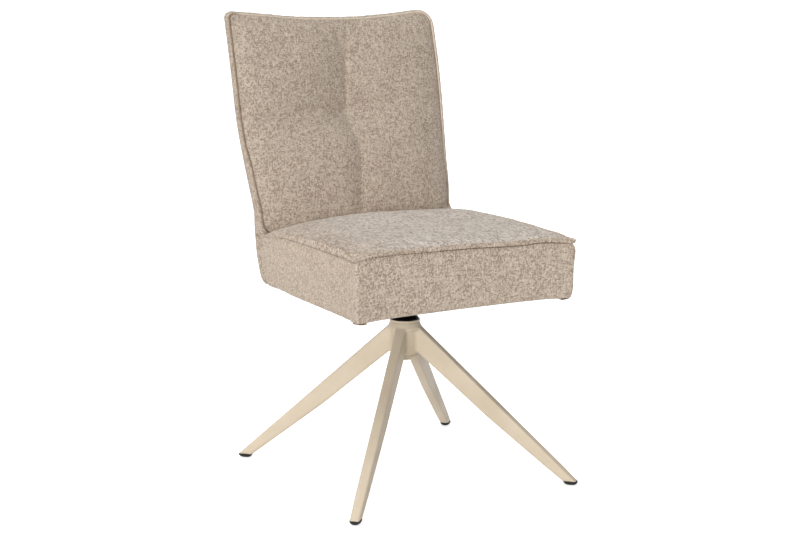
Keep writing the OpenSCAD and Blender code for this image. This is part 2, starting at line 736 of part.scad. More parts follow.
leg(-45);  // leg_front_left
leg(-135);  // leg_front_right
leg(45);  // leg_rear_left
leg(135);  // leg_rear_right
hub();
glide(-45);  // glide_front_left
glide(-135);  // glide_front_right
glide(45);  // glide_rear_left
glide(135);  // glide_rear_right
upper_bush();
lower_bush();
spindle();
neck_sleeve();
retaining_washer();
retaining_ring();
swivel_plate();
plate_bolts();
tee_nuts();
seat_board();
front_rail();
rear_rail();
side_rail(1);  // side_rail_left
side_rail(-1);  // side_rail_right
corner_blocks();
seat_webbing();
seat_foam();
seat_cover();
seat_welt();
front_border();
side_border(1);  // side_border_left
side_border(-1);  // side_border_right
dust_cover();
back_shell();
back_screws();
back_foam();
back_face();
back_piping();
back_band(1);  // back_band_left
back_band(-1);  // back_band_right
rear_cover();
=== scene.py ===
import json
import math

import bmesh
import bpy
import numpy as np
from mathutils import Matrix, Vector

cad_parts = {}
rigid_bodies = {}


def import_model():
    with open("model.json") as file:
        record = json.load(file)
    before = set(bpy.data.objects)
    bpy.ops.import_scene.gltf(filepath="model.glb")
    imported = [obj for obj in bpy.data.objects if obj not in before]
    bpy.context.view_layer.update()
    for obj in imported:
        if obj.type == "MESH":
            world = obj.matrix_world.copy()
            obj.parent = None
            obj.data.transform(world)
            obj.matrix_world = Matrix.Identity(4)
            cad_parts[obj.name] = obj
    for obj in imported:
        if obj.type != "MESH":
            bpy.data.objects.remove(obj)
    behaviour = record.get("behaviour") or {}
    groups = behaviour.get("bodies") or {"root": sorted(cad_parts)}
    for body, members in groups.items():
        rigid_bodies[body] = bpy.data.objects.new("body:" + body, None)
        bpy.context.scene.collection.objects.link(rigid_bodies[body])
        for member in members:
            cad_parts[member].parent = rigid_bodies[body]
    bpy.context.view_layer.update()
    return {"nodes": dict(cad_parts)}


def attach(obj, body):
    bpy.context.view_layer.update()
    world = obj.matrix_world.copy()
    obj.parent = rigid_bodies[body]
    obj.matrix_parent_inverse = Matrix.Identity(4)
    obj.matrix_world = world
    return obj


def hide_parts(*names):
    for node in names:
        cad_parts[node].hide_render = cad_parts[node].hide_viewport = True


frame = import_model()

mm = 0.001

# Sizes in millimetres that the frame's solids have too
chair = {
    "seatHalf": 229, "seatFront": 232, "seatLow": 370, "seatSeam": 476, "drawFrom": 160.7, "drawRun": 34,
    "backTop": 877, "backHalf": 227, "backFoot": 160, "backLean": 157, "bandDeep": 24,
    "waist": 10.5, "waistFrom": 500, "waistRun": 200, "heel": 15,
    "leanShares": ((0, 0), (0.26, 0.335), (0.53, 0.62), (0.79, 0.81), (1, 1)),
}


def ease(a):
    a = np.clip(a, 0, 1)
    return a * a * (3 - 2 * a)


# A hump that is 1 at its middle
def bell(away, wide, power=2):
    return np.exp(-(np.abs(away) / wide)**power)


# Places from -1 to 1, and from 0 to 1, drawn together at the ends by a share
def gathered(count, share):
    a = np.linspace(-1, 1, count)
    return (1 - share) * a + share * np.sin(a * math.pi / 2)


def eased(count, share):
    b = np.linspace(0, 1, count)
    return (1 - share) * b + share * (1 - np.cos(b * math.pi)) / 2


# Smooth curve through a table of pairs
def through(table, x):
    xs, ys = np.array(table, float).T
    n = len(xs)
    lo, hi = np.maximum(np.arange(n) - 1, 0), np.minimum(np.arange(n) + 1, n - 1)
    slope = (ys[hi] - ys[lo]) / (xs[hi] - xs[lo])
    i = np.clip(np.searchsorted(xs, x, side="right") - 1, 0, n - 2)
    w = xs[i + 1] - xs[i]
    u = (np.asarray(x, float) - xs[i]) / w
    return ((2 * u**3 - 3 * u**2 + 1) * ys[i] + (u**3 - 2 * u**2 + u) * slope[i] * w
            + (3 * u**2 - 2 * u**3) * ys[i + 1] + (u**3 - u**2) * slope[i + 1] * w)


def held(table, x):
    return through(table, np.clip(x, table[0][0], table[-1][0]))


def rearY(z):
    share = (z - chair["seatLow"]) / (chair["backTop"] - chair["seatLow"])
    return chair["backFoot"] + chair["backLean"] * through(chair["leanShares"], share)


def edgeY(z):
    return rearY(z) - chair["bandDeep"]


def heelY(z):
    drop = np.clip(chair["heel"] - (z - chair["seatLow"]), 0, chair["heel"])
    return rearY(np.maximum(z, chair["seatLow"])) - chair["heel"] + np.sqrt(chair["heel"]**2 - drop**2)


# The rear panel's line, which turns in at the heel of the box
def behindY(z):
    return np.where(z < chair["seatLow"] + chair["heel"], heelY(z), rearY(z))


def backHalf(z):
    return chair["backHalf"] - chair["waist"] * (1 - ease((z - chair["waistFrom"]) / chair["waistRun"]))


def boxHalf(y):
    narrow = chair["seatHalf"] - backHalf(chair["seatSeam"])
    return chair["seatHalf"] - narrow * ease((y - chair["drawFrom"]) / chair["drawRun"])


# By height: half the back's width at its front seam, what the rear seam adds, how far in the face is sewn
# on each side, and how much the right side is pulled in at the seat
sides = {
    "front": ((370, 228.5), (410, 228.5), (440, 226.5), (476, 221), (500, 216.8), (530, 217.6), (560, 219.6),
              (592, 222.2), (620, 224.8), (650, 227), (700, 229), (900, 229)),
    "flare": ((370, 0.4), (440, 1.5), (500, 3.4), (560, 3.4), (592, 3.0), (620, 2.1), (660, 1.6), (900, 1.4)),
    "left": ((440, 30), (458, 24), (463, 15), (468, 10), (474, 8), (480, 7.2), (485, 6.5), (498, 4.9),
             (517, 4.0), (536, 3.0), (592, 3.0), (620, 1.0), (660, 0.5), (900, 0.5)),
    "right": ((440, 3), (500, 2.5), (520, 3.2), (700, 3.6), (900, 3.2)),
    "pinch": ((450, 0), (460, 6), (470, 12), (479, 13.2), (485, 11.2), (492, 8.2), (500, 5), (512, 2.4),
              (530, 0.6), (545, 0)),
}


def frontHalf(z, right=False):
    return held(sides["front"], z) - np.where(right, held(sides["pinch"], z), 0)


def flareHalf(z, right=False):
    return held(sides["front"], z) + held(sides["flare"], z)


def seamIn(z, right):
    return np.where(right, held(sides["right"], z), held(sides["left"], z))


# Slow uneven waves, the same on every run
def waves(x, y, length, seed, count=9):
    rng = np.random.default_rng(seed)
    total = 0
    for _ in range(count):
        angle, phase = rng.uniform(0, math.tau, 2)
        k = math.tau / (length * rng.uniform(0.7, 1.5))
        total = total + np.sin(k * (x * math.cos(angle) + y * math.sin(angle)) + phase)
    return total / math.sqrt(count)


def blur(grid, width):
    kernel = np.hanning(2 * width + 3)[1:-1]
    kernel /= kernel.sum()
    for axis in (0, 1):
        pad = [(width, width) if a == axis else (0, 0) for a in range(grid.ndim)]
        wide = np.pad(grid, pad, mode="edge")
        grid = sum(k * np.take(wide, range(i, i + grid.shape[axis]), axis) for i, k in enumerate(kernel))
    return grid


def lengthAlong(points):
    return np.concatenate([[0], np.cumsum(np.linalg.norm(np.diff(points, axis=0), axis=1))])


# Points pushed out from a path of places and directions, at a third coordinate
def pushed(path, out, third):
    return np.stack([path[:, 0] + path[:, 2] * out, path[:, 1] + path[:, 3] * out, third], axis=1)


# The same for a path that stands upright
def pushedUp(path, out, y):
    return pushed(path, out, y)[:, [0, 2, 1]]


# Order of the points round a grid's edge
def rimOf(rows, cols):
    return np.array(list(range(cols)) + [r * cols + cols - 1 for r in range(1, rows)]
                    + [(rows - 1) * cols + c for c in range(cols - 2, -1, -1)]
                    + [r * cols for r in range(rows - 2, 0, -1)])


def edgeMask(grid, deep=2):
    mask = np.ones(grid.shape[:2], bool)
    mask[deep:-deep, deep:-deep] = False
    return mask


def quadsOf(rows, cols, start=0):
    i = (np.arange(rows - 1)[:, None] * cols + np.arange(cols - 1)).ravel() + start
    return np.stack([i, i + 1, i + cols + 1, i + cols], axis=1)


# Quads between rings of so many points, by their numbers
def ringQuads(rings, count):
    return [(a * count + k, a * count + (k + 1) % count, b * count + (k + 1) % count, b * count + k)
            for a, b in rings for k in range(count)]


# Lengths along a grid's rows and columns, for the weave
def cloth(grid):
    u = np.zeros(grid.shape[:2])
    v = np.zeros(grid.shape[:2])
    u[:, 1:] = np.cumsum(np.linalg.norm(np.diff(grid, axis=1), axis=2), axis=1)
    v[1:] = np.cumsum(np.linalg.norm(np.diff(grid, axis=0), axis=2), axis=0)
    return np.stack([u - u[:, [grid.shape[1] // 2]], v], axis=2)


def link(name, data):
    piece = bpy.data.objects.new(name, data)
    bpy.context.scene.collection.objects.link(piece)
    return piece


def evaluated(piece):
    return piece.evaluated_get(bpy.context.evaluated_depsgraph_get())


def pointsOf(mesh):
    flat = np.empty(len(mesh.vertices) * 3)
    mesh.vertices.foreach_get("co", flat)
    return flat.reshape(-1, 3)


# A piece from points in millimetres, with a place on the cloth for each point or for each face's corner
def addPiece(name, points, faces, uv=None):
    mesh = bpy.data.meshes.new(name)
    mesh.from_pydata((np.asarray(points, float) * mm).tolist(), [], [list(map(int, f)) for f in faces])
    if uv is not None:
        uv = np.asarray(uv, float)
        if len(uv) == len(mesh.vertices):
            corner = np.empty(len(mesh.loops), int)
            mesh.loops.foreach_get("vertex_index", corner)
            uv = uv[corner]
        mesh.uv_layers.new(name="weave").data.foreach_set("uv", (uv * mm).ravel())
    shape = bmesh.new()
    shape.from_mesh(mesh)
    bmesh.ops.recalc_face_normals(shape, faces=shape.faces)
    shape.to_mesh(mesh)
    shape.free()
    mesh.shade_smooth()
    return link(name, mesh)


# Closed body between an outer and an inner grid, with loops of points round its edge between them
def addBody(name, outer, inner, loops=()):
    rows, cols = outer.shape[:2]
    rim = rimOf(rows, cols)
    uv = cloth(outer).reshape(-1, 2)
    points, uvs, faces = [outer.reshape(-1, 3)], [uv], [quadsOf(rows, cols)]
    ring, count = rim, rows * cols
    out = uv[rim] - uv.mean(axis=0)
    out = out / (np.abs(out).max(axis=1, keepdims=True) + 1e-6)
    last, lastUv = points[0][rim], uv[rim]
    for loop in loops:
        lastUv = lastUv + out * np.linalg.norm(loop - last, axis=1)[:, None]
        points.append(loop)
        uvs.append(lastUv)
        nxt = count + np.arange(len(rim))
        faces.append(np.stack([ring, nxt, np.roll(nxt, -1), np.roll(ring, -1)], axis=1))
        ring, count, last = nxt, count + len(rim), loop
    nxt = count + rim
    faces.append(np.stack([ring, nxt, np.roll(nxt, -1), np.roll(ring, -1)], axis=1))
    faces.append(quadsOf(rows, cols, count)[:, ::-1])
    points.append(inner.reshape(-1, 3))
    uvs.append(uv)
    return addPiece(name, np.concatenate(points), np.concatenate(faces), np.concatenate(uvs))


def smoother(piece):
    mod = piece.modifiers.new("Subdivision", "SUBSURF")
    mod.levels = mod.render_levels = 1
    mod.boundary_smooth = "PRESERVE_CORNERS"


# Colour as a screen shows it, for shaders
def tint(r, g, b):
    return [(c / 255 / 12.92 if c < 10.3 else ((c / 255 + 0.055) / 1.055) ** 2.4) for c in (r, g, b)] + [1]


# A node's value that does sums
class Wire:
    def __init__(self, owner, socket):
        self.owner, self.socket = owner, socket

    def __add__(self, other):
        return self.owner.math("ADD", self, other)

    def __radd__(self, other):
        return self.owner.math("ADD", other, self)

    def __sub__(self, other):
        return self.owner.math("SUBTRACT", self, other)

    def __rsub__(self, other):
        return self.owner.math("SUBTRACT", other, self)

    def __mul__(self, other):
        return self.owner.math("MULTIPLY", self, other)

    def __rmul__(self, other):
        return self.owner.math("MULTIPLY", other, self)


class NodeTree:
    prefix = "ShaderNode"

    def __init__(self, tree):
        self.tree = tree

    def put(self, socket, value):
        if isinstance(value, Wire):
            self.tree.links.new(value.socket, socket)
        else:
            socket.default_value = value

    # Any node: its settings first, then its sockets by name or number
    def node(self, kind, settings=None, sockets=None, out=0):
        node = self.tree.nodes.new(kind if "Node" in kind else self.prefix + kind)
        for key, value in (settings or {}).items():
            setattr(node, key, value)
        for key, value in (sockets or {}).items():
            self.put(node.inputs[key], value)
        return Wire(self, node.outputs[out])

    def math(self, operation, *parts):
        return self.node("ShaderNodeMath", {"operation": operation}, dict(enumerate(parts)))

    def most(self, *parts):
        return parts[0] if len(parts) == 1 else self.math("MAXIMUM", parts[0], self.most(*parts[1:]))

    # 1 for rays from the camera, a mirror or glass, and 0 for the light itself
    def direct(self):
        kinds = ("Is Camera Ray", "Is Glossy Ray", "Is Transmission Ray")
        return self.most(*(self.node("LightPath", out=kind) for kind in kinds))


class Shader(NodeTree):
    def __init__(self, name):
        self.material = bpy.data.materials.new(name)
        self.material.use_nodes = True
        super().__init__(self.material.node_tree)
        self.tree.nodes.clear()

    def mix(self, factor, a, b, blend="MIX"):
        return self.node("Mix", {"data_type": "RGBA", "blend_type": blend}, {0: factor, 6: a, 7: b}, 2)

    def tones(self, factor, a, b):
        return self.mix(factor, tint(*a), tint(*b))

    def times(self, colour, by, factor=1.0):
        return self.mix(factor, colour, by if isinstance(by, Wire) else (*by, 1), "MULTIPLY")

    def scaled(self, vector, by):
        return self.node("Mapping", {"vector_type": "POINT"}, {"Vector": vector, "Scale": by})

    def noise(self, vector, scale, detail=2, roughness=0.5, out="Fac"):
        sockets = {"Vector": vector, "Scale": scale, "Detail": detail, "Roughness": roughness}
        return self.node("TexNoise", None, sockets, out)

    def cells(self, vector, uneven, out):
        return self.node("TexVoronoi", None, {"Vector": vector, "Scale": 1, "Randomness": uneven}, out)

    def waves(self, vector, way):
        sockets = {"Vector": vector, "Scale": 0.5, "Distortion": 0.6}
        return self.node("TexWave", {"bands_direction": way}, sockets, "Fac")

    def range(self, value, low, high, toLow=0, toHigh=1):
        return self.node("MapRange", None, {"Value": value, "From Min": low, "From Max": high,
                                            "To Min": toLow, "To Max": toHigh})

    def place(self):
        return self.node("TexCoord", out="Object")

    def axis(self, letter):
        return self.node("SeparateXYZ", None, {0: self.place()}, letter)

    def close(self, shader):
        final = self.tree.nodes.new("ShaderNodeOutputMaterial")
        self.put(final.inputs["Surface"], shader)
        return self.material

    # The finished material from its colour, roughness and relief, with any other sockets
    def surface(self, colour, roughness, height, strength, deep, others=None):
        relief = self.node("Bump", None, {"Height": height, "Strength": strength, "Distance": deep})
        sockets = {"Base Color": colour, "Roughness": roughness, "Normal": relief, **(others or {})}
        return self.close(self.node("BsdfPrincipled", None, sockets))


# The highlight colours, the warm light tone, the side light tone and the edge shade tone are painted light and
# shade
fabric = {
    "light": (217, 201, 184), "mid": (189, 171, 154), "dark": (140, 120, 100), "pale": (231, 218, 200),
    "highlightGround": (236, 233, 230), "highlightFleck": (186, 178, 170), "warmLightTone": (0.86, 0.74, 0.6),
    "sideLightTone": (1.02, 0.98, 0.9), "edgeShadeTone": (0.93, 0.91, 0.88), "cornerY": -0.2305, "topEdgeX": -0.222,
    "across": (3.4, 2.1), "upright": (1.55, 4.4), "threadGap": 1.9, "patch": 0.045, "wobble": 0.0013,
    "bump": 0.5, "bumpDeep": 0.0009,
}


# Chenille weave of pale yarns with darker flecks between them. The flecks are calm on the box's sides.
def fabricShade(name, warmLight=0.0, paintedHighlight=0.0, shaded=1.0, bold=1.0, large=1.0, calm=0.0):
    s = Shader(name)
    uv = s.node("UVMap", {"uv_map": "weave"})
    wobble = s.noise(uv, 240, out="Color")
    sockets = {0: wobble, 1: (fabric["wobble"],) * 3, 2: uv}
    uneven = s.node("VectorMath", {"operation": "MULTIPLY_ADD"}, sockets)
    yarns = []
    for kind, channel in (("across", "Red"), ("upright", "Green")):
        size = [1000 / c / large for c in fabric[kind]] + [1]
        cells = s.cells(s.scaled(uneven, size), 0.9, "Color")
        yarns.append(s.node("SeparateColor", None, {0: cells}, channel))
    weft, warp = yarns
    fine = s.noise(uv, 560, 2, 0.6)
    dense = s.range(s.noise(uv, 1 / fabric["patch"], 3, 0.6), 0.32, 0.68, 0.13, 0.30)
    if calm:
        beside = s.range(s.axis("Y"), fabric["cornerY"], fabric["cornerY"] + 0.002, 0, calm)
        bold = bold * (1 - beside)
    flecks = s.most(s.range(weft, dense - 0.12, dense + 0.04, 1, 0), s.range(warp, dense - 0.16, dense, 1, 0))
    shine = s.most(s.range(weft, 0.80, 0.92), s.range(warp, 0.84, 0.94))
    yarn = weft * 0.5 + warp * 0.5
    ground = s.tones(s.range(yarn, 0.25, 0.85), fabric["mid"], fabric["light"])
    ground = s.mix(s.range(fine, 0.35, 0.75, 0, 0.4), ground, tint(*fabric["mid"]))
    ground = s.mix(shine * (0.55 * bold), ground, tint(*fabric["pale"]))
    deep = tint(*fabric["dark"])
    # Painted highlight: the seat top is paled towards white, as the top lamp would light it, with painted
    # shade towards its left edge
    if paintedHighlight:
        away = s.range(s.axis("X"), fabric["topEdgeX"], -0.10, 0.25, 1)
        ground = s.mix(away * paintedHighlight, ground, tint(*fabric["highlightGround"]))
        ground = s.times(ground, s.mix(away, (*fabric["edgeShadeTone"], 1), (1, 1, 1, 1)))
        deep = s.mix(away * (paintedHighlight * 0.5), deep, tint(*fabric["highlightFleck"]))
    colour = s.mix(flecks * (0.72 * bold), ground, deep)
    # Painted shade: a darker copy of the cloth for the back and the band
    if shaded != 1:
        colour = s.times(colour, (shaded,) * 3)
    # Painted warm light: the box's sides are tinted warmer where the light from the left falls
    if calm:
        colour = s.times(colour, fabric["sideLightTone"], beside)
    # Painted warm light: the welt's and the band's copies of the cloth are tinted warmer
    if warmLight:
        colour = s.times(colour, fabric["warmLightTone"], warmLight)
    threads = s.scaled(uneven, (1000 / fabric["threadGap"],) * 2 + (1,))
    weave = s.most(s.waves(threads, "X"), s.waves(threads, "Y"))
    height = weave * 0.5 + yarn * 0.7 - flecks * 0.5 + fine * 0.5
    return s.surface(colour, 0.92, height, fabric["bump"], fabric["bumpDeep"],
                     {"Specular IOR Level": 0.25, "Sheen Weight": 0.2, "Sheen Roughness": 0.45})


# Dark thread, partly real stitching and partly painted shade of the seam's groove
def threadShade():
    s = Shader("seamThread")
    strands = s.noise(s.scaled(s.place(), (900, 900, 900)), 1, 1)
    colour = s.tones(s.range(strands, 0.35, 0.65), (104, 88, 72), (140, 122, 103))
    return s.surface(colour, 0.75, strands, 0.4, 0.0003)


seamLitTones = {"dark": ((136, 118, 99), (164, 145, 125)), "pale": ((206, 190, 172), (226, 211, 194)),
             "rightX": (0.1, 0.19), "rightZ": (0.52, 0.58), "topX": (-0.222, -0.204), "topZ": (0.842, 0.862)}


# Back seam: dark down the left and at the foot as painted shade, pale on the top and right as painted light
def seamShade():
    s = Shader("chenilleSeam")
    x, z = s.axis("X"), s.axis("Z")
    right = s.range(x, *seamLitTones["rightX"]) * s.range(z, *seamLitTones["rightZ"])
    top = s.range(z, *seamLitTones["topZ"]) * s.range(x, *seamLitTones["topX"])
    knots = s.noise(s.scaled(s.place(), (260, 260, 150)), 1, 2, 0.6)
    tone = s.range(knots, 0.35, 0.65)
    colour = s.mix(s.most(top, right), s.tones(tone, *seamLitTones["dark"]), s.tones(tone, *seamLitTones["pale"]))
    return s.surface(colour, 0.95, knots, 0.5, 0.0006, {"Specular IOR Level": 0.1})


paint = {"sand": (217, 201, 178), "dull": (208, 192, 167), "grit": (196, 178, 152), "rough": 0.44}


# Satin powder coat with its fine orange peel
def paintShade():
    s = Shader("legCoat")
    at = s.place()
    slow, peel, grit = s.noise(at, 14, 3, 0.55), s.noise(at, 900), s.noise(at, 2600, 1)
    colour = s.tones(s.range(slow, 0.35, 0.7), paint["sand"], paint["dull"])
    colour = s.mix(s.range(grit, 0.6, 0.8, 0, 0.12), colour, tint(*paint["grit"]))
    rough = s.range(slow, 0.3, 0.7, paint["rough"] - 0.05, paint["rough"] + 0.07)
    return s.surface(colour, rough, peel * 0.7 + grit * 0.3, 0.12, 0.0005, {"Specular IOR Level": 0.4})


def mouldedShade(name, colour, gloss, grain, shine=0.3):
    s = Shader(name)
    at = s.place()
    speck = s.noise(at, 1500)
    shade = s.tones(s.range(s.noise(at, 40), 0.35, 0.7, 0, 0.5), colour, [c + 12 for c in colour])
    rough = s.range(speck, 0.3, 0.7, gloss, gloss + 0.1)
    return s.surface(shade, rough, speck, grain, 0.0004, {"Specular IOR Level": shine})


def metalShade(name, colour, rough, metallic=1.0):
    s = Shader(name)
    at = s.place()
    brushed = s.noise(s.scaled(at, (300, 300, 2500)), 1)
    shade = s.tones(s.range(s.noise(at, 60, 3), 0.35, 0.7), colour, [c * 0.86 for c in colour])
    worn = s.range(brushed, 0.3, 0.7, rough - 0.06, rough + 0.08)
    return s.surface(shade, worn, brushed, 0.08, 0.0003, {"Metallic": metallic})


def woodShade(name, pale, deep, grain):
    s = Shader(name)
    at = s.scaled(s.place(), grain)
    pores = s.noise(s.scaled(at, (6, 6, 6)), 1, 2, 0.6)
    colour = s.tones(s.range(s.noise(at, 1, 4, 0.6), 0.3, 0.7), pale, deep)
    colour = s.mix(s.range(pores, 0.55, 0.75, 0, 0.4), colour, tint(*[c * 0.7 for c in deep]))
    return s.surface(colour, 0.7, pores, 0.2, 0.0005)


def plainClothShade(name, colour, pale, gap):
    s = Shader(name)
    at = s.place()
    cells = s.cells(s.scaled(at, (1000 / gap,) * 3), 1, "Distance")
    felt = s.noise(at, 700, 3, 0.6)
    shade = s.tones(s.range(felt, 0.35, 0.7), colour, pale)
    return s.surface(shade, 0.95, cells * 0.5 + felt * 0.5, 0.4, 0.0006)


shades = {
    # On the box's sides this copy of the cloth carries a painted warm light tint
    "upholstery": fabricShade("chenille", bold=0.85, calm=0.3),
    # The back's copy of the cloth is darkened as painted shade
    "upholsteryBack": fabricShade("chenilleBack", shaded=0.87, bold=0.75),
    # The seat top's copy of the cloth carries a painted highlight
    "upholsteryTop": fabricShade("chenilleTop", paintedHighlight=0.36, bold=1.1, large=1.3),
    "upholsterySeam": seamShade(),
    # The welt's copy of the cloth is tinted warmer as painted warm light
    "upholsteryTrim": fabricShade("chenilleTrim", warmLight=0.12),
    # The band's copy of the cloth is darkened as painted shade and tinted warmer as painted warm light
    "upholsteryBand": fabricShade("chenilleBand", warmLight=0.06, shaded=0.9, bold=0.9),
    "thread": threadShade(),
    "leg_paint": paintShade(),
    "black_plastic": mouldedShade("blackMoulding", (20, 19, 18), 0.55, 0.3),
    "gloss_plastic": mouldedShade("glossMoulding", (5, 4, 3), 0.3, 0.04, 0.12),
    "black_steel": metalShade("blackSteel", (36, 36, 38), 0.42, 0.3),
    "zinc_steel": metalShade("zincSteel", (176, 166, 142), 0.4),
    "plywood": woodShade("birchPly", (222, 194, 150), (196, 160, 112), (8, 60, 220)),
    "beech": woodShade("beechRail", (214, 172, 124), (188, 142, 96), (14, 90, 90)),
    "webbing": plainClothShade("elasticWebbing", (92, 84, 72), (120, 110, 94), 2.2),
    "dust_cloth": plainClothShade("dustCloth", (26, 26, 27), (42, 42, 43), 1.1),
}

# Every solid of the frame takes the finish of its slot. Those not named here are upholstery.
solidsOf = {
    "gloss_plastic": ("upper_bush", "neck_sleeve"),
    "black_plastic": ("lower_bush", "glide_"),
    "zinc_steel": ("spindle", "retaining_washer", "plate_bolts", "tee_nuts"),
    "black_steel": ("retaining_ring", "swivel_plate", "back_screws"),
    "plywood": ("seat_board", "back_shell"),
    "beech": ("front_rail", "rear_rail", "side_rail_", "corner_blocks"),
    "webbing": ("seat_webbing",), "dust_cloth": ("dust_cover",), "leg_paint": ("hub", "leg_"),
}
for name, node in frame["nodes"].items():
    kind = next((kind for kind, starts in solidsOf.items() if name.startswith(starts)), "upholstery")
    if not node.material_slots:
        node.data.materials.append(None)
    for place in node.material_slots:
        place.link = "OBJECT"
        place.material = shades[kind]
print("materials:", len(shades))


def dress(piece, shade, body="seat"):
    piece.data.materials.clear()
    piece.data.materials.append(shades[shade])
    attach(piece, body)
    print(piece.name + ":", len(piece.data.polygons), "faces")


# Fabric is blown up by cloth pressure, pinned where it is sewn down. What it adds is its fine folds.
sewing = {"pressure": 4, "frames": 20, "tension": 12, "bending": 3.0, "mass": 0.25, "spread": -0.012,
          "cap": 24, "keep": 7}


def blowUp(piece, grid, pinned):
    scene = bpy.context.scene
    count = pinned.size
    trial = link("clothTrial", piece.data.copy())
    sewn = trial.vertex_groups.new(name="sewn")
    fixed = np.concatenate([np.flatnonzero(pinned.ravel()), np.arange(count, len(trial.data.vertices))])
    sewn.add([int(i) for i in fixed], 1.0, "ADD")
    mod = trial.modifiers.new("Cloth", "CLOTH")
    settings = mod.settings
    settings.quality = 6
    settings.mass = sewing["mass"]
    settings.tension_stiffness = settings.compression_stiffness = sewing["tension"]
    settings.shear_stiffness = sewing["tension"] / 2
    settings.bending_stiffness = sewing["bending"]
    settings.use_pressure = True
    settings.uniform_pressure_force = sewing["pressure"]
    settings.shrink_min = settings.shrink_max = sewing["spread"]
    settings.vertex_group_mass = sewn.name
    settings.effector_weights.gravity = 0
    mod.collision_settings.use_collision = False
    mod.point_cache.frame_start, mod.point_cache.frame_end = 1, sewing["frames"]
    for step in range(1, sewing["frames"] + 1):
        scene.frame_set(step)
    moved = pointsOf(evaluated(trial).to_mesh())[:count].reshape(grid.shape) / mm - grid
    evaluated(trial).to_mesh_clear()
    mesh = trial.data
    bpy.data.objects.remove(trial)
    bpy.data.meshes.remove(mesh)
    scene.frame_set(1)
    far = np.linalg.norm(moved, axis=2, keepdims=True)
    moved *= np.minimum(1, sewing["cap"] / np.maximum(far, 1e-6))
    fine = moved - blur(moved, sewing["keep"])
    print("  blown up:", round(float(far.max()), 1), "mm, folds:", round(float(np.abs(fine).max()), 2), "mm")
    return fine


# Moves a pad's grid to its full form with the cloth's folds
def settle(pad, grid, target, folds):
    points = pointsOf(pad.data)
    points[:folds[..., 0].size] += (target - grid + folds).reshape(-1, 3) * mm
    pad.data.vertices.foreach_set("co", points.ravel())
    pad.data.update()
    smoother(pad)
    return pad


# Seam heights as the sewn cover has them, along the front by x and along the sides by y
seam = {
    "front": ((-229, 479), (-190, 484), (-80, 483), (23, 481), (64, 478.5), (122, 477), (156, 478), (190, 475),
              (229, 470)),
    "left": ((-232, 478.5), (-216, 475), (-203, 474.6), (-188, 477), (-147, 477), (-105, 476.5), (30, 475),
             (72, 472), (110, 467), (145, 460.5), (180, 452)),
    "right": ((-232, 470), (-190, 474), (-147, 475), (-105, 475.5), (30, 475), (72, 472), (110, 467),
              (145, 460.5), (180, 452)),
    "corner": 3.4,
}


def seamZ(x, y):
    front = held(seam["front"], x)
    side = np.where(x < 0, held(seam["left"], y), held(seam["right"], y))
    nearFront = y + chair["seatFront"]
    share = nearFront / (nearFront + chair["seatHalf"] - np.abs(x) + 1e-6)
    return front + (side - front) * ease(share)


# How far a place is from the nearest front corner, and how close to the front it is
def cornerGap(x, y):
    return np.hypot(chair["seatHalf"] - np.abs(x), y + chair["seatFront"])


def frontShare(y):
    return ease((-chair["seatFront"] + 26 - y) / 20)


# Outline of the seat box from the rear left corner round the front to the rear right, out by a distance
def boxPath(out, rear, rearHalf, sideCols=62, cornerCols=7, frontCols=78):
    r = seam["corner"]
    cx, cy = -chair["seatHalf"] + r, -chair["seatFront"] + r
    y = rear + (cy - rear) * np.linspace(0, 1, sideCols)
    half = chair["seatHalf"] - (chair["seatHalf"] - rearHalf) * ease((y - 60) / (rear - 60))
    left = np.stack([-half - out, y, np.full(sideCols, -1.0), np.zeros(sideCols)], axis=1)
    turn = np.linspace(0, math.pi / 2, cornerCols + 2)[1:-1]
    cos, sin = np.cos(turn), np.sin(turn)
    mitre = np.maximum(cos, sin)
    arc = np.stack([cx - (r + out) * cos, cy - (r + out) * sin, -cos / mitre, -sin / mitre], axis=1)
    front = np.tile([0, -chair["seatFront"] - out, 0, -1.0], (frontCols, 1))
    front[:, 0] = np.linspace(cx, -cx, frontCols)
    flip = np.array([-1, 1, -1, 1])
    return np.concatenate([left, arc, front, arc[::-1] * flip, left[::-1] * flip])


seatPad = {
    "rearFull": ((-232, 0), (-60, -1), (10, 0), (72, 4), (110, 8), (145, 12.5), (187, 16)),
    "crown": 12.0, "edgeIn": 5, "lift": 7.0, "floor": 434, "rearAt": 187, "cols": 93, "rows": 83,
    "start": 0.75, "edge": ((-0.6, 3), (-0.8, 9), (0.5, 20)), "waveLong": 120, "waveDeep": 0.8,
}


def seatTop(crown):
    u = gathered(seatPad["cols"], 0.55)[None, :]
    v = eased(seatPad["rows"], 0.55)[:, None]
    front = -chair["seatFront"] + seatPad["edgeIn"]
    y = front + (seatPad["rearAt"] - front) * v + 0 * u
    x = u * (boxHalf(y) - seatPad["edgeIn"])
    rise = crown * (1 - np.abs(u)**2.2)**0.5 * (1 - np.abs(2 * v - 1)**5)**0.6
    rise = rise * (0.84 + 0.16 * np.sin(math.pi * v)) * (0.94 + 0.16 * v)
    full = held(seatPad["rearFull"], y) * (1 - np.abs(u)**np.where(u > 0, 12, 3.5))**0.8
    full = full * (1 + 0.22 * np.maximum(u, 0))
    z = seamZ(x * 0.985, y) + seatPad["lift"] * (1 - 0.75 * ease((y - 70) / 90)) + rise + full
    return np.stack([x, y, z], axis=2)


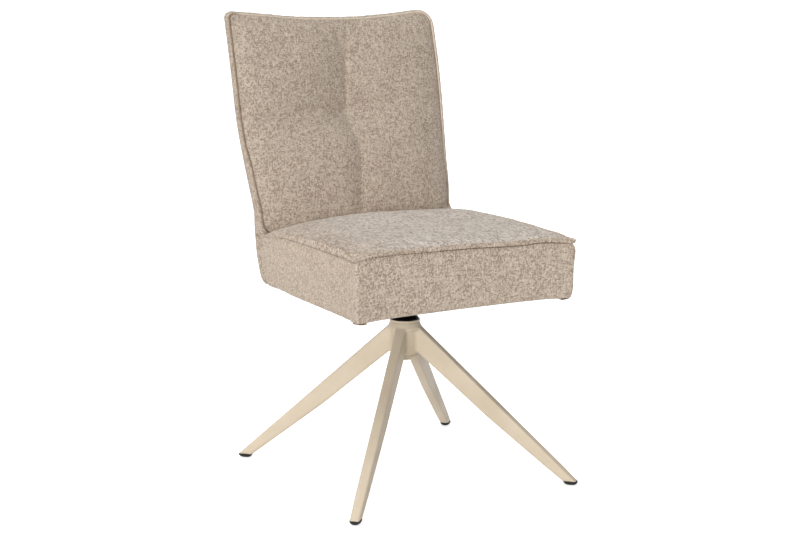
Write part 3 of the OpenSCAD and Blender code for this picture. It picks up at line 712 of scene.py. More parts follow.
def makeSeatPad():
    grid = seatTop(seatPad["crown"] * seatPad["start"])
    edge = grid.reshape(-1, 3)[rimOf(*grid.shape[:2])]
    away = edge[:, :2] - (0, -30)
    outward = np.sign(away) * (np.abs(away) > 190)
    drops = np.ones((len(edge), 1))
    loops = [edge - np.hstack([outward * inward, drops * drop]) for inward, drop in seatPad["edge"]]
    under = grid.copy()
    under[..., 2] = seatPad["floor"]
    pad = addBody("seatPad", grid, under, loops)
    folds = blowUp(pad, grid, edgeMask(grid))
    target = seatTop(seatPad["crown"])
    x, y = target[..., 0], target[..., 1]
    quiet = (1 - (x / 235)**4) * (1 - np.clip((y + 30) / 215, -1, 1)**4)
    target[..., 2] += seatPad["waveDeep"] * waves(x, y, seatPad["waveLong"], 11) * quiet
    return settle(pad, grid, target, folds)


pad = makeSeatPad()
dress(pad, "upholsteryTop")
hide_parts("seat_cover", "seat_foam")

# The ring is the welt's section, out from the box and up from the seam
welt = {
    "ring": ((-3.2, 1.2), (-1.6, 0.5), (0.2, 0.5), (1.36, 1.3), (1.6, 2.8), (1.6, 5.2), (1.2, 7.2), (0.1, 8.5),
             (-1.6, 9.0), (-3.6, 8.8), (-5.6, 7.8), (-7.4, 6.2), (-8.2, 3.6), (-6.0, 1.6)),
    "tall": 8.6, "ringTall": 9, "rear": 177, "ear": 1.4, "cornerOut": 2.0, "cornerUp": 0.9,
    "leftTall": ((-232, 0), (-206, 1.2), (-180, 4.6), (-120, 7), (-60, 5.4), (-30, 4), (10, 1.5), (50, 0)),
}


# The doubled edge that stands above the seat's seam
def makeWelt():
    base = boxPath(0, welt["rear"], float(frontHalf(460)) - 1)
    x, y = base[:, 0], base[:, 1]
    level = seamZ(x, y)
    run = lengthAlong(base[:, :2])
    cornerAt = bell(cornerGap(x, y) - 2, 8) * np.where(x < 0, 0.35, 1)
    tall = (welt["tall"] + np.where(x < 0, held(welt["leftTall"], y), 0)) / welt["ringTall"]
    tall = tall * (1 - 0.7 * ease((y - 40) / 120)) * (1 + 0.05 * waves(run, 0 * run, 70, 3))
    rows = []
    for out, up in welt["ring"]:
        outside = out > -4
        grow = 0.35 + 0.65 * frontShare(y) if outside and up < 2.5 else 1
        ear = welt["ear"] * max(0, up - 2) / 7 if outside else 0
        shove = out * grow + (welt["cornerOut"] + ear) * cornerAt + 0.35 * waves(run, 0 * run + up, 38, 5)
        ripple = 0.3 * waves(run, 0 * run, 45, 8) * (up > 2)
        rise = up * tall + welt["cornerUp"] * cornerAt * up / welt["ringTall"] + ripple
        rows.append(pushed(base, shove, level + rise))
    n, cols = len(rows), len(base)
    around = lengthAlong(np.array(welt["ring"] + welt["ring"][:1])) + 400
    faces, corners = [], []
    for r in range(n):
        for c in range(cols - 1):
            low, high = r * cols + c, (r + 1) % n * cols + c
            faces.append((low, low + 1, high + 1, high))
            corners += [(run[c + i], around[r + j]) for i, j in ((0, 0), (1, 0), (1, 1), (0, 1))]
    for c in (0, cols - 1):
        faces.append([r * cols + c for r in range(n)])
        corners += [(run[c], around[r]) for r in range(n)]
    return addPiece("seatWelt", np.concatenate(rows), faces, corners)


lip = makeWelt()
dress(lip, "upholsteryTrim")
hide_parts("seat_welt")

# By the share of the way down: how far the strip swells, and how far it does at its front corners
border = {
    "swell": ((0, -2.4), (0.05, -0.6), (0.16, 1.4), (0.33, 2.6), (0.55, 1.3), (0.78, -0.4), (0.9, -1.4),
              (0.955, -2.4), (0.985, -4.2), (1, -6.6)),
    "atCorner": ((0, -1.2), (0.04, 1.2), (0.12, 3.0), (0.3, 3.9), (0.5, 3.4), (0.78, 2.0), (0.9, 0.8),
                 (0.955, -0.6), (0.985, -3.0), (1, -6.6)),
    "sag": ((-229, -4.6), (-170, -0.8), (-60, 0.6), (60, 0.6), (170, -0.8), (229, -4.6)),
    "cornerSag": 3.0, "leftSag": 2.2, "rearLift": 3, "rows": 30, "thick": 3.5, "rearIn": 19, "inside": 1.6,
    "hem": ((13, -0.6), (18, -0.3), (22, 0.4)),
    "puckerLong": 17, "puckerDeep": 0.55, "waveLong": 85, "waveDeep": 0.9, "cornerSeam": 0.4, "earFull": 1.4,
}


# Padded strip round the front and sides, with seams at its two corners and its hem turned under
def makeBorder():
    bottom = chair["seatLow"]
    outer, inner = [], []
    for share in eased(border["rows"], 0.4):
        flat = chair["seatSeam"] + (bottom - chair["seatSeam"]) * share
        rear = float(heelY(max(flat, bottom + 0.5))) - border["rearIn"]
        base = boxPath(0, rear, float(frontHalf(flat)) - 1.2)
        x, y = base[:, 0], base[:, 1]
        gap, run = cornerGap(x, y), lengthAlong(base[:, :2])
        low = bottom - 1.2 + np.where(y < -200, held(border["sag"], x), -border["cornerSag"] * bell(gap, 42))
        low = low + border["rearLift"] * ease((y - 120) / 40)
        low = low - border["leftSag"] * (x < 0) * ease((y + 215) / 40) * (1 - ease((y - 20) / 80))
        top = seamZ(x, y) + 0.8
        z = top + (low - top) * share
        corner = bell(gap, 26)
        bulge = through(border["swell"], share) * (1 - corner) + through(border["atCorner"], share) * corner
        if share < 0.05:
            bulge = bulge * (0.3 + 0.7 * frontShare(y))
        pucker = math.exp(-share / 0.10) + 0.7 * math.exp(-(1 - share) / 0.10)
        bulge = bulge + border["puckerDeep"] * waves(run, 0 * run, border["puckerLong"], 21) * pucker
        calm = math.sin(math.pi * min(1, share * 1.02))
        bulge = bulge + border["waveDeep"] * waves(run, z, border["waveLong"], 22) * calm
        stripe = border["cornerSeam"] * bell(gap - 3.4, 1.6) * ease(share / 0.1)
        bulge = bulge + stripe - 0.2 * bell(gap - 9.5, 4.5)
        bulge = bulge + border["earFull"] * corner * (x > 0) * bell(share - 0.09, 0.14)
        bulge = bulge * (1 - 0.75 * ease((y - rear + 60) / 60))
        outer.append(pushed(base, bulge, z))
        depth = np.maximum(bulge - border["thick"], -4.5)
        inner.append(pushed(base, depth, np.maximum(z, bottom + border["inside"])))
    for reach, drop in border["hem"]:
        under = boxPath(-reach, rear, chair["seatHalf"] - 1)
        outer.append(pushed(under, 0, np.minimum(outer[-1][:, 2] + drop, bottom + 0.4)))
        inner.append(pushed(under, 0, np.full(len(under), bottom + border["inside"])))
    return addBody("seatBorder", np.array(outer), np.array(inner))


strip = makeBorder()
dress(strip, "upholstery")
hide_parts("front_border", "side_border_left", "side_border_right")

# By height: how full the pad is, and how deep, where and how wide its fold is on each side. The tuft is the
# fold's deepest place, and the pulls are the creases that run out from it.
back = {
    "top": ((-229, 883), (-218, 882), (-138, 873.5), (-72, 867), (-5, 864), (63, 863.6), (132, 867),
            (191, 872), (229, 873)),
    "leftRound": 13, "rightRound": 30, "lowRound": 11, "low": 457, "inset": 1.4, "sink": 3.2, "topIn": 2.0,
    "cols": 111, "rows": 95, "start": 0.8, "waveLong": 110, "waveDeep": 0.9,
    "full": ((457, 2), (466, 9), (482, 18), (505, 26), (543, 33), (590, 36), (635, 34), (672, 31), (720, 31),
             (765, 30), (805, 26), (835, 19.5), (850, 13.5), (860, 7.5), (866, 4), (880, 2)),
    "fold": ((460, 0), (480, 5), (505, 8), (543, 9.5), (603, 10), (635, 15), (655, 23), (680, 32), (720, 33),
             (760, 31), (790, 26), (820, 17), (850, 7), (875, 1)),
    "foldAt": ((460, -2), (480, -2), (500, -0.7), (520, 1.3), (540, 3.7), (560, 6.5), (580, 9.5), (600, 11.5),
               (620, 10.7), (640, 9), (660, 8), (672, 7), (690, 6.5), (720, 8.5), (760, 12.5), (800, 16),
               (840, 20), (870, 22)),
    "foldLeft": ((460, 24), (600, 26), (635, 30), (660, 42), (690, 56), (760, 60), (870, 54)),
    "foldSlow": ((620, 0), (690, 0.33), (800, 0.4), (870, 0.4)), "slowWide": 110,
    "foldRight": ((460, 60), (600, 70), (650, 85), (690, 120), (870, 130)),
    "foldStep": ((460, 0.15), (560, 0.2), (640, 0.2), (660, 0.05), (690, 0.05), (710, 0.16), (780, 0.16),
                 (830, 0.1), (870, 0.1)), "stepWide": 6,
    "edge": ((4.5, -0.6), (8, 0.4)), "deep": 9.5, "sewnWide": 4, "sewnTuft": 9,
    "tuftAt": 676, "tuft": 8, "tuftWide": 28, "tuftTall": 22, "tuftLeft": 8,
    "pulls": ((1, 72, 52, 22, 5.0, 10), (-1, 105, 80, 8, 3.0, 12)),
}


def topLine(x, inward=0.0):
    bend = np.maximum(np.where(x < 0, back["leftRound"], back["rightRound"]) - inward, 2)
    over = np.clip(np.abs(x) - chair["backHalf"] + inward + bend, 0, bend)
    return held(back["top"], x) - inward - bend + np.sqrt(np.maximum(bend**2 - over**2, 0))


def faceHalf(z, right):
    return frontHalf(z, right) - back["inset"] - seamIn(z, right)


# How deep the fold, the tuft and its pulls are at a height and a distance from the fold
def creaseDepth(x, off, z):
    far = np.abs(off)
    slow, step = held(back["foldSlow"], z), held(back["foldStep"], z)
    left = (1 - slow) * bell(far, held(back["foldLeft"], z), 1.4) + slow * bell(far, back["slowWide"], 1.8)
    right = step * bell(far, back["stepWide"], 1.2) + (1 - step) * bell(far, held(back["foldRight"], z), 1.5)
    above = z - back["tuftAt"]
    tuft = bell(off + back["tuftLeft"], back["tuftWide"], 1.6) * bell(above, back["tuftTall"], 1.7)
    depth = held(back["fold"], z) * np.where(off < 0, left, right) + back["tuft"] * tuft
    for side, away, wide, up, deep, tall in back["pulls"]:
        depth = depth + deep * bell(x * side - away, wide) * bell(above - up, tall)
    return depth


def faceGrid(amount):
    low = back["low"]
    s = gathered(back["cols"], 0.5)[None, :]
    t = eased(back["rows"], 0.5)[:, None]
    roughZ = low + (chair["backTop"] - 8 - low) * t + 0 * s
    half = faceHalf(roughZ, s > 0)
    x = s * half
    at = held(back["foldAt"], roughZ)
    x = x * (1 - 0.7 * bell(x, 30)) + at * bell(x, 60)  # the columns gather at the fold
    s = np.clip(x / half, -1, 1)
    top = topLine(x, back["inset"]) - back["topIn"]
    bend = np.where(s > 0, back["lowRound"], 4)
    over = np.clip(np.abs(x) - faceHalf(low, s > 0) + bend, 0, bend)
    bottom = low + bend - np.sqrt(np.maximum(bend**2 - over**2, 0))
    z = bottom + (top - bottom) * t
    full = held(back["full"], z + (chair["backTop"] - 12 - top) * ease((z - 700) / 170))
    full = full * (1 - np.abs(s)**np.where(s > 0, 2.6, 2.3))**0.66
    y = edgeY(z) + back["sink"] * (1 - np.minimum(1, full / 8)) - (full - creaseDepth(x, x - at, z)) * amount
    return np.stack([x, y, z], axis=2)


def makeBackPad():
    grid = faceGrid(back["start"])
    edge = grid.reshape(-1, 3)[rimOf(*grid.shape[:2])]
    loops = []
    for deep, inward in back["edge"]:
        loop = edge.copy()
        loop[:, 0] -= np.sign(edge[:, 0]) * inward * (np.abs(edge[:, 0]) > 190)
        loop[:, 1] = edgeY(edge[:, 2]) + deep
        loop[:, 2] -= inward * (edge[:, 2] > 800)
        loops.append(loop)
    x, z = grid[..., 0], grid[..., 2]
    under = np.stack([x * 0.99, edgeY(z) + back["deep"], np.where(z > 840, z - 1.5, z)], axis=2)
    pad = addBody("backPad", grid, under, loops)
    off = x - x[:, [x.shape[1] // 2]]
    sewn = (np.abs(off) < back["sewnWide"]) | (np.hypot(off, z - back["tuftAt"]) < back["sewnTuft"])
    folds = blowUp(pad, grid, edgeMask(grid) | sewn)
    target = faceGrid(1.0)
    across, up = (1 - np.abs(np.linspace(-1, 1, n))**6 for n in (back["cols"], back["rows"]))
    target[..., 1] -= back["waveDeep"] * waves(x, z, back["waveLong"], 31) * across[None, :] * up[:, None]
    return settle(pad, grid, target, folds)


rest = makeBackPad()
dress(rest, "upholsteryBack")
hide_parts("back_face", "back_foam")


# Path round the back from its lower left up, over the top and down, with its outward directions. It is drawn
# in by a distance and, where it is sewn, by the face seam's own.
def backPath(inward, low, half=frontHalf, sewn=0, sideRows=104, topCols=84, cornerSteps=10):
    points = []
    for side in (-1, 1):
        right = side > 0
        bend = max(back["rightRound" if right else "leftRound"] - inward, 2)
        cornerZ = float(held(back["top"], side * (chair["backHalf"] - bend))) - inward - bend
        z = np.linspace(low, cornerZ, sideRows)
        x = side * (half(z, right) - inward - sewn * seamIn(z, right))
        up = np.stack([x, z, np.full(sideRows, float(side)), np.zeros(sideRows)], axis=1)
        turn = np.linspace(0, math.pi / 2, cornerSteps + 1)[1:]
        cx = side * (float(half(900)) - inward - sewn * float(seamIn(900, right)) - bend)
        cos, sin = side * np.cos(turn), np.sin(turn)
        arc = np.stack([cx + bend * cos, cornerZ + (bend - sewn * back["topIn"]) * sin, cos, sin], axis=1)
        points.append(np.concatenate([up, arc]))
    left, right = points
    x = np.linspace(left[-1, 0], right[-1, 0], topCols)[1:-1]
    flat = np.clip(x, back["leftRound"] - chair["backHalf"], chair["backHalf"] - back["rightRound"])
    z = topLine(flat, inward)
    slope = np.gradient(z, x)
    size = np.hypot(slope, 1)
    over = np.stack([x, z - sewn * back["topIn"], -slope / size, 1 / size], axis=1)
    return np.concatenate([left, over, right[::-1]])


# By the share of the way back: how far the band swells. The tuck is its part inside the face seam.
band = {
    "across": ((0.015, -0.5), (0.06, -0.2), (0.13, 0.0), (0.25, 0.5), (0.42, 1.0), (0.6, 0.9), (0.78, 0.3),
               (0.9, -0.5), (0.96, -1.8), (1.0, -3.6)),
    "tuck": ((1, 2.6), (0.72, 0.6), (0.4, -0.3)), "thick": 2.0, "low": 370.6,
    "footOut": 7, "footFrom": 488, "footRun": 22, "sunkBelow": 440, "turnIn": 5, "turnRun": 3.0,
}


# The band round the back's edge between the face seam and the rear seam, running down to the heel of the box
def makeBand():
    front = backPath(0, band["low"])
    rear = backPath(0, band["low"], flareHalf)
    run = lengthAlong(front[:, :2])
    z = front[:, 1]
    behind = behindY(z) - 0.6
    ahead = np.where(z > chair["seatSeam"], edgeY(z) + 0.6, behind - chair["bandDeep"] + 1.5)
    ahead = ahead - band["footOut"] * ease((band["footFrom"] - z) / band["footRun"]) * (z > band["sunkBelow"])
    sewn = seamIn(z, front[:, 0] > 0) * (1 - front[:, 3]) + back["topIn"] * front[:, 3]
    sewn = np.where(z < back["low"] + 1, 4, sewn)
    rows = [pushedUp(front, -(sewn + 0.7) * share, ahead + deep) for share, deep in band["tuck"]]
    for share, out in band["across"]:
        at = front + (rear - front) * share
        push = out + np.zeros(len(z))
        if share < 0.5:
            merge = -2.4 * max(0, 1 - share / 0.45) - min(out, 0) - out * (share < 0.45) * 0.6
            push = push + merge * ease((chair["seatSeam"] - 6 - z) / 8)
        ripple = 0.35 * waves(run, 0 * run + share * 20, 22, 41) + 0.4 * waves(run, 0 * run, 90, 42)
        push = push + ripple * math.sin(math.pi * share)
        push = push - band["turnIn"] * np.exp(-(z - band["low"]) / band["turnRun"]) * (z < 400)
        rows.append(pushedUp(at, push, ahead + (behind - ahead) * share))
    outer = np.array(rows)
    shares = np.array([0] * len(band["tuck"]) + [share for share, _ in band["across"]])[:, None]
    inner = outer.copy()
    inner[..., 0] -= front[None, :, 2] * band["thick"]
    inner[..., 1] += 1.2 - 2.4 * shares
    inner[..., 2] -= front[None, :, 3] * band["thick"]
    return addBody("backBand", outer, inner)


edging = makeBand()
dress(edging, "upholsteryBand")
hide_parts("back_band_left", "back_band_right")

rearPanel = {"cols": 70, "rows": 96, "puff": 2.2, "thick": 2.0, "hem": ((22, 371.0), (14, 369.8), (6, 369.4)),
             "waveLong": 95, "waveDeep": 0.5, "edgeIn": 1.8, "edgeDrop": 2.6}


# Rear panel from the top seam down round the heel and under the box
def makeRear():
    s = gathered(rearPanel["cols"], 0.6)
    low = chair["seatLow"] + 0.8
    rows = []
    for share in np.linspace(0, 1, rearPanel["rows"]):
        up = share**1.25
        x = s * (float(flareHalf(low + (chair["backTop"] - 8 - low) * up)) - rearPanel["edgeIn"])
        z = low + (topLine(x * chair["backHalf"] / 230, 1.6) - low) * up
        edge = (1 - np.abs(s)**8) * (1 - share**14)
        puff = rearPanel["puff"] * edge * math.sin(math.pi * min(1, 0.12 + share))**0.5
        ripple = rearPanel["waveDeep"] * waves(x, z, rearPanel["waveLong"], 51) * edge
        y = behindY(z) - rearPanel["edgeDrop"] * (1 - edge) + puff + ripple
        rows.append(np.stack([x, y, z], axis=1))
    hem = []
    for reach, z in rearPanel["hem"]:
        x, y = rows[0][:, 0] * (1 - reach / 500), rows[0][:, 1] - reach
        hem.append(np.stack([x, y, np.full(len(x), z)], axis=1))
    outer = np.array(hem + rows)
    step = np.gradient(outer, axis=0)
    normal = np.stack([0 * step[..., 0], step[..., 2], -step[..., 1]], axis=2)
    normal /= np.linalg.norm(normal, axis=2, keepdims=True) + 1e-9
    inner = outer - normal * rearPanel["thick"]
    inner[..., 0] *= 0.996
    return addBody("rearCover", outer, inner)


rearCloth = makeRear()
dress(rearCloth, "upholstery")
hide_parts("rear_cover")


# A tree with named inputs that grows a piece from a path
class GrowTree(NodeTree):
    prefix = "GeometryNode"

    def __init__(self, name, **sizes):
        super().__init__(bpy.data.node_groups.new(name, "GeometryNodeTree"))
        face = self.tree.interface
        for way in ("INPUT", "OUTPUT"):
            face.new_socket(name="Geometry", in_out=way, socket_type="NodeSocketGeometry")
        self.ids = {}
        for label, value in {**sizes, "Material": None}.items():
            kind = "Material" if value is None else "Int" if isinstance(value, int) else "Float"
            item = face.new_socket(name=label, in_out="INPUT", socket_type="NodeSocket" + kind)
            item.default_value = value
            self.ids[label] = item.identifier
        self.start = self.tree.nodes.new("NodeGroupInput")

    def given(self, label):
        return Wire(self, self.start.outputs[label])

    def combine(self, **parts):
        return self.node("ShaderNodeCombineXYZ", None, parts)

    # The path as points at even steps
    def even(self, step):
        line = self.node("MeshToCurve", None, {"Mesh": self.given("Geometry")})
        return self.node("ResampleCurve", {"mode": "LENGTH"}, {"Curve": line, "Length": self.given(step)})

    # The turn that lays an axis along the path
    def facing(self, axis):
        along = self.node("InputTangent")
        return self.node("FunctionNodeAlignRotationToVector", {"axis": axis}, {"Vector": along})

    def chance(self, low, high):
        sockets = {2: low, 3: high, 8: self.given("Seed")}
        return self.node("FunctionNodeRandomValue", {"data_type": "FLOAT"}, sockets, 1)

    # A curve with a value kept for each of its points
    def kept(self, curve, label, output):
        node = self.tree.nodes.new("GeometryNodeCaptureAttribute")
        node.capture_items.new("FLOAT", label)
        self.put(node.inputs["Geometry"], curve)
        self.put(node.inputs[label], self.node("SplineParameter", out=output))
        return Wire(self, node.outputs["Geometry"]), Wire(self, node.outputs[label])

    def close(self, geometry):
        whole = self.node("RealizeInstances", None, {"Geometry": geometry})
        done = self.node("SetMaterial", None, {"Geometry": whole, "Material": self.given("Material")})
        self.put(self.tree.nodes.new("NodeGroupOutput").inputs[0], done)
        return self


# A finished plain mesh from a path run through a tree. Values that are lengths are in millimetres.
def grow(name, path, tree, values, shade):
    mesh = bpy.data.meshes.new(name + "Path")
    mesh.from_pydata((np.asarray(path, float) * mm).tolist(), [(i, i + 1) for i in range(len(path) - 1)], [])
    guide = link(name + "Guide", mesh)
    mod = guide.modifiers.new("Grow", "NODES")
    mod.node_group = tree.tree
    for label, value in values.items():
        mod[tree.ids[label]] = value if label in ("Uneven", "Turn", "Seed") else value * mm
    mod[tree.ids["Material"]] = shades[shade]
    made = bpy.data.meshes.new_from_object(evaluated(guide))
    guide.modifiers.remove(mod)
    bpy.data.objects.remove(guide)
    bpy.data.meshes.remove(mesh)
    made.name = name
    return link(name, made)


# Cord covered in cloth along a path
def pipingTree():
    t = GrowTree("clothPiping", Radius=0.0024, Step=0.004)
    cord, along = t.kept(t.even("Step"), "Run", "Length")
    ring = t.node("CurvePrimitiveCircle", None, {"Resolution": 12, "Radius": t.given("Radius")})
    section, around = t.kept(ring, "Round", "Factor")
    tube = t.node("CurveToMesh", None, {"Curve": cord, "Profile Curve": section, "Fill Caps": True})
    place = t.combine(X=along, Y=around * 0.016)
    named = t.node("StoreNamedAttribute", {"data_type": "FLOAT2", "domain": "CORNER"},
                   {"Geometry": tube, "Name": "weave", "Value": place})
    return t.close(t.node("SetShadeSmooth", None, {"Geometry": named}))


piping = {"sizes": {"Radius": 1.75, "Step": 4}, "inward": 0.5, "behind": 1.6, "low": 459}
path = backPath(piping["inward"], piping["low"], sewn=1)
pipeLine = pushedUp(path, 0, edgeY(path[:, 1]) + piping["behind"])
cord = grow("backPiping", pipeLine, pipingTree(), piping["sizes"], "upholsterySeam")
dress(cord, "upholsterySeam")
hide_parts("back_piping")


# Short stitches laid end to end along a path, each a little different
def stitchTree():
    t = GrowTree("stitchRow", Pitch=0.006, Length=0.005, Radius=0.0007, Uneven=0.3, Seed=4)
    uneven = t.given("Uneven")
    wide = t.chance(1 - uneven, 1 + uneven) * t.given("Radius")
    bead = t.node("MeshUVSphere", None, {"Segments": 8, "Rings": 6, "Radius": 1.0})
    half = t.node("Transform", None, {"Geometry": bead, "Scale": (1, 1, 0.5)})
    smooth = t.node("SetShadeSmooth", None, {"Geometry": half})
    size = t.combine(X=wide, Y=wide, Z=t.given("Length"))
    return t.close(t.node("InstanceOnPoints", None, {"Points": t.even("Pitch"), "Instance": smooth,
                                                     "Rotation": t.facing("Z"), "Scale": size}))


# The thread shows well at the front's left, less at its right, and hardly at the sides
# Its dark colour is partly real thread and partly painted shade of the seam's groove
stitch = {
    "clear": {"Pitch": 5.2, "Length": 6.4, "Radius": 0.95, "Uneven": 0.35, "Seed": 4},
    "ragged": {"Pitch": 6.6, "Length": 4.8, "Radius": 0.75, "Uneven": 0.6, "Seed": 7},
    "faint": {"Pitch": 5.2, "Length": 4.6, "Radius": 0.42, "Uneven": 0.3, "Seed": 9},
    "out": -0.5, "up": -0.6, "rear": 140, "clearShare": 0.45,
}


def makeStitches():
    tree = stitchTree()
    base = boxPath(stitch["out"], stitch["rear"], float(frontHalf(460)) - 1)
    line = pushed(base, 0, seamZ(base[:, 0], base[:, 1]) + stitch["up"])
    front = np.flatnonzero(base[:, 1] < -chair["seatFront"] + 12)
    first, last = front[0], front[-1]
    half = first + int(stitch["clearShare"] * len(front))
    stretches = (("FrontRight", first, half, "ragged"), ("FrontLeft", half, last + 1, "clear"),
                 ("Right", 0, first + 1, "faint"), ("Left", last, len(line), "faint"))
    for name, start, end, kind in stretches:
        piece = grow("seatStitch" + name, line[start:end], tree, stitch[kind], "thread")
        dress(piece, "thread")


makeStitches()


# Flat staples along a path, each turned a little
def stapleTree():
    t = GrowTree("stapleRow", Pitch=0.03, Length=0.01, Wire=0.0009, Turn=0.2, Seed=5)
    about = t.combine(Z=t.chance(t.given("Turn") * -1.0, t.given("Turn")))
    turned = t.node("FunctionNodeRotateRotation", {"rotation_space": "LOCAL"}, {0: t.facing("X"), 1: about})
    wire = t.node("MeshCylinder", {"fill_type": "NGON"}, {"Vertices": 8, "Radius": 0.5, "Depth": 1.0})
    laid = t.node("Transform", None, {"Geometry": wire, "Rotation": (0, math.pi / 2, 0)})
    size = t.combine(X=t.given("Length"), Y=t.given("Wire"), Z=t.given("Wire"))
    return t.close(t.node("InstanceOnPoints", None, {"Points": t.even("Pitch"), "Instance": laid,
                                                     "Rotation": turned, "Scale": size}))


staple = {"sizes": {"Pitch": 34, "Length": 10.5, "Wire": 1.0, "Turn": 0.16, "Seed": 5},
          "in": 26, "z": 368.9, "rear": 136}


def makeStaples():
    x, front = chair["seatHalf"] - staple["in"], -chair["seatFront"] + staple["in"]
    rear = staple["rear"]
    corners = np.array([(-x, rear), (-x, front), (x, front), (x, rear), (-x, rear)])
    line = [corners[0]]
    for a, b in zip(corners, corners[1:]):
        line += [a + (b - a) * k / 12 for k in range(1, 13)]
    line = np.column_stack([line, np.full(len(line), staple["z"])])[:-1]
    piece = grow("coverStaples", line, stapleTree(), staple["sizes"], "zinc_steel")
    dress(piece, "zinc_steel")


makeStaples()

floor = {"half": 60, "colour": (0.82, 0.82, 0.82, 1), "glow": 0.68}
white = (1, 1, 1, 1)


# Pale floor, white to the camera where nothing shades it
def makeFloor():
    mesh = bpy.data.meshes.new("studioFloor")
    h = floor["half"]
    mesh.from_pydata([(-h, -h, 0), (h, -h, 0), (h, h, 0), (-h, h, 0)], [], [(0, 1, 2, 3)])
    s = Shader("paleFloor")
    plain = s.node("BsdfDiffuse", None, {"Color": floor["colour"]})
    glow = s.node("Emission", None, {"Color": white, "Strength": floor["glow"]})
    seen = s.node("AddShader", None, {0: plain, 1: glow})
    mesh.materials.append(s.close(s.node("MixShader", None, {0: s.direct(), 1: plain, 2: seen})))
    link("studioFloor", mesh)


makeFloor()

# Each lamp's strength, the way towards it and how soft it is in degrees
studio = {
    "fill": 0.3,
    "lamps": {
        "key": (0.62, (-0.79, -0.6, 0.13), 28),
        "front": (0.18, (-0.42, -0.87, 0.02), 40),
        "top": (0.42, (-0.1, 0.05, 1), 60),
        "rim": (0.24, (0.35, 0.9, 0.22), 60),
    },
}


def makeLights():
    world = bpy.data.worlds.new("studio")
    bpy.context.scene.world = world
    world.use_nodes = True
    sky = NodeTree(world.node_tree)
    sky.tree.nodes.clear()
    light = sky.node("Background", None, {"Color": white, "Strength": studio["fill"]})
    seen = sky.node("Background", None, {"Color": white, "Strength": 1.0})
    mixed = sky.node("MixShader", None, {0: sky.direct(), 1: light, 2: seen})
    sky.put(sky.tree.nodes.new("ShaderNodeOutputWorld").inputs["Surface"], mixed)
    for name, (level, at, soft) in studio["lamps"].items():
        lamp = bpy.data.lights.new(name, "SUN")
        lamp.energy, lamp.angle = level * math.pi, math.radians(soft)
        link(name, lamp).rotation_euler = (-Vector(at)).to_track_quat("-Z", "Y").to_euler()


makeLights()

baseFrame = {"voxel": 1.75, "rounds": 9, "footRounds": 24, "footTop": 40, "footFade": 30, "footLow": 8.4,
             "soleTop": 6.9}


# The welded base as one coated body: its joints flow together and its edges are soft
def makeBaseFrame():
    names = [n for n in frame["nodes"] if n.startswith("leg_")] + ["hub"]
    shape = bmesh.new()
    for name in names:
        shape.from_mesh(frame["nodes"][name].data)
    bmesh.ops.remove_doubles(shape, verts=shape.verts, dist=1e-6)
    mesh = bpy.data.meshes.new("baseFrame")
    shape.to_mesh(mesh)
    shape.free()
    piece = link("baseFrame", mesh)
    mod = piece.modifiers.new("Remesh", "REMESH")
    mod.mode, mod.voxel_size = "VOXEL", baseFrame["voxel"] * mm
    made = bpy.data.meshes.new_from_object(evaluated(piece))
    piece.modifiers.clear()
    piece.data = made
    at = pointsOf(made)
    pair = np.empty(len(made.edges) * 2, int)
    made.edges.foreach_get("vertices", pair)
    starts, ends = np.concatenate([pair.reshape(-1, 2), pair.reshape(-1, 2)[:, ::-1]]).T
    near = np.bincount(ends, minlength=len(at))[:, None]
    footShare = ease((baseFrame["footTop"] * mm - at[:, 2:]) / (baseFrame["footFade"] * mm))
    for turn in range(baseFrame["footRounds"]):
        total = np.stack([np.bincount(ends, at[starts, k], len(at)) for k in range(3)], axis=1)
        lowest = at[:, 2].copy()
        at += (total / near - at) * (0.5 if turn < baseFrame["rounds"] else 0.5 * footShare)
        at[:, 2] = np.where(lowest < baseFrame["soleTop"] * mm, lowest, at[:, 2])
    at[:, 2] = np.maximum(at[:, 2], baseFrame["footLow"] * mm)
    made.vertices.foreach_set("co", at.ravel())
    made.update()
    made.shade_smooth()
    made.name = "baseFrame"
    dress(piece, "leg_paint", "base")
    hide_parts(*names)


makeBaseFrame()

# Closed profiles of radius and height
lips = {
    "bushSkirt": ((24.6, 232.0), (24.8, 231.6), (25.1, 231.7), (25.4, 232.6), (25.7, 234.2), (25.8, 237),
                  (24.6, 237)),
    "collarLip": ((28.3, 302.4), (29.3, 302.2), (29.5, 304.2), (29.3, 305.7), (28.9, 306.2), (28.5, 306.0),
                  (28.25, 305.2)),
}


def turnedPiece(name, profile, count=64):
    turn = np.linspace(0, math.tau, count, endpoint=False)
    points = [(r * math.cos(t), r * math.sin(t), z) for r, z in profile for t in turn]
    n = len(profile)
    return addPiece(name, points, ringQuads([(i, (i + 1) % n) for i in range(n)], count))


for name, profile in lips.items():
    dress(turnedPiece(name, profile), "leg_paint", "base")

# The side is the pad's profile: height, and how far it stands out
glide = {
    "at": 330, "long": 13.7, "wide": 10.5, "lean": 1.05, "leanFrom": 6.5, "squareShare": 0.8, "count": 40,
    "side": ((8.9, -2.4), (8.7, -0.7), (8.1, 0.15), (7.0, 0.25), (5.8, 0.1), (4.6, -0.4), (3.4, -1.2),
             (2.3, -2.4), (1.3, -3.9), (0.6, -5.4), (0.15, -7.2), (0.0, -8.8)),
}


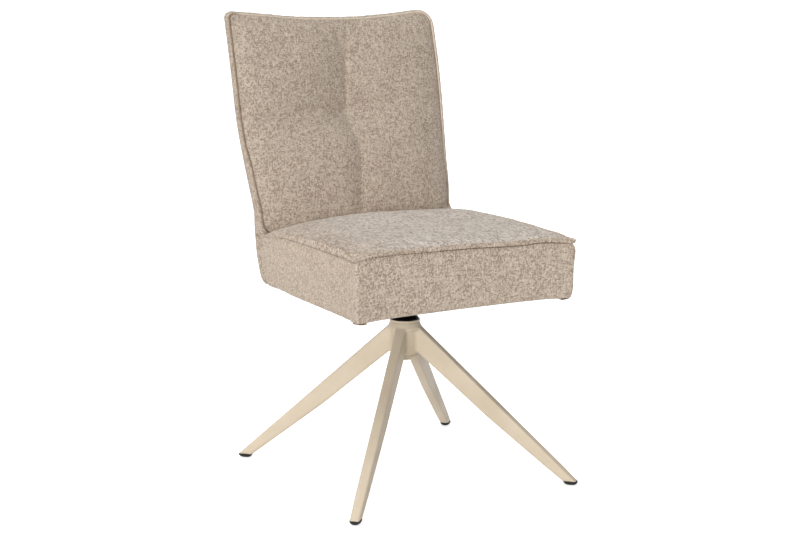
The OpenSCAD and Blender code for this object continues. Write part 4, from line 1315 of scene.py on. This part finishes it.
# Rounded pad under each foot
def makeGlide(name, sx, sy):
    count, last = glide["count"], len(glide["side"]) - 1
    turn = np.linspace(0, math.tau, count, endpoint=False)
    cos, sin = (np.sign(a) * np.abs(a)**glide["squareShare"] for a in (np.cos(turn), np.sin(turn)))
    along, across = np.array([sx, sy]) / math.sqrt(2), np.array([-sy, sx]) / math.sqrt(2)
    rings = []
    for z, grow in glide["side"]:
        reach = glide["at"] - glide["lean"] * max(0, z - glide["leanFrom"]) + (glide["long"] + grow) * cos
        at = reach[:, None] * along + ((glide["wide"] + grow) * sin)[:, None] * across
        rings.append(np.column_stack([at, np.full(count, z)]))
    faces = ringQuads([(i, i + 1) for i in range(last)], count)
    faces += [list(range(count)), [last * count + k for k in range(count)]]
    pad = addPiece("glidePad_" + name, np.concatenate(rings), faces)
    dress(pad, "black_plastic", "base")
    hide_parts("glide_" + name)


feet = {"front_left": (1, -1), "front_right": (-1, -1), "rear_left": (1, 1), "rear_right": (-1, 1)}
for name, way in feet.items():
    makeGlide(name, *way)

neck = ((14.05, 305.9), (26.2, 305.9), (27.2, 306.6), (27.3, 307.6), (26.6, 309), (25, 310.6), (22.4, 312.4),
        (20.2, 314), (18.7, 316.4), (18.1, 319.5), (18.0, 330), (18.0, 363.5), (27, 363.6), (27, 367.6),
        (14.05, 367.6))
sleeve = turnedPiece("neckCap", neck, 72)
dress(sleeve, "gloss_plastic")
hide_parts("neck_sleeve")

camera = {"at": (-1.755308, -3.078045, 1.127909), "yaw": 29.545, "pitch": 11.506, "roll": -0.104,
          "lens": 84.84, "sensor": 36, "far": 100}


def makeCamera():
    yaw, pitch, roll = (math.radians(camera[k]) for k in ("yaw", "pitch", "roll"))
    ahead = Vector((math.sin(yaw) * math.cos(pitch), math.cos(yaw) * math.cos(pitch), -math.sin(pitch)))
    right = Vector((math.cos(yaw), -math.sin(yaw), 0))
    down = ahead.cross(right)
    x = right * math.cos(roll) + down * math.sin(roll)
    y = right * math.sin(roll) - down * math.cos(roll)
    data = bpy.data.cameras.new("photoCamera")
    data.lens, data.sensor_width, data.sensor_fit = camera["lens"], camera["sensor"], "HORIZONTAL"
    data.clip_end = camera["far"]
    piece = link("photoCamera", data)
    piece.matrix_world = Matrix((x, y, -ahead)).transposed().to_4x4()
    piece.location = camera["at"]
    bpy.context.scene.camera = piece


makeCamera()
bpy.context.scene.view_settings.view_transform = "Standard"
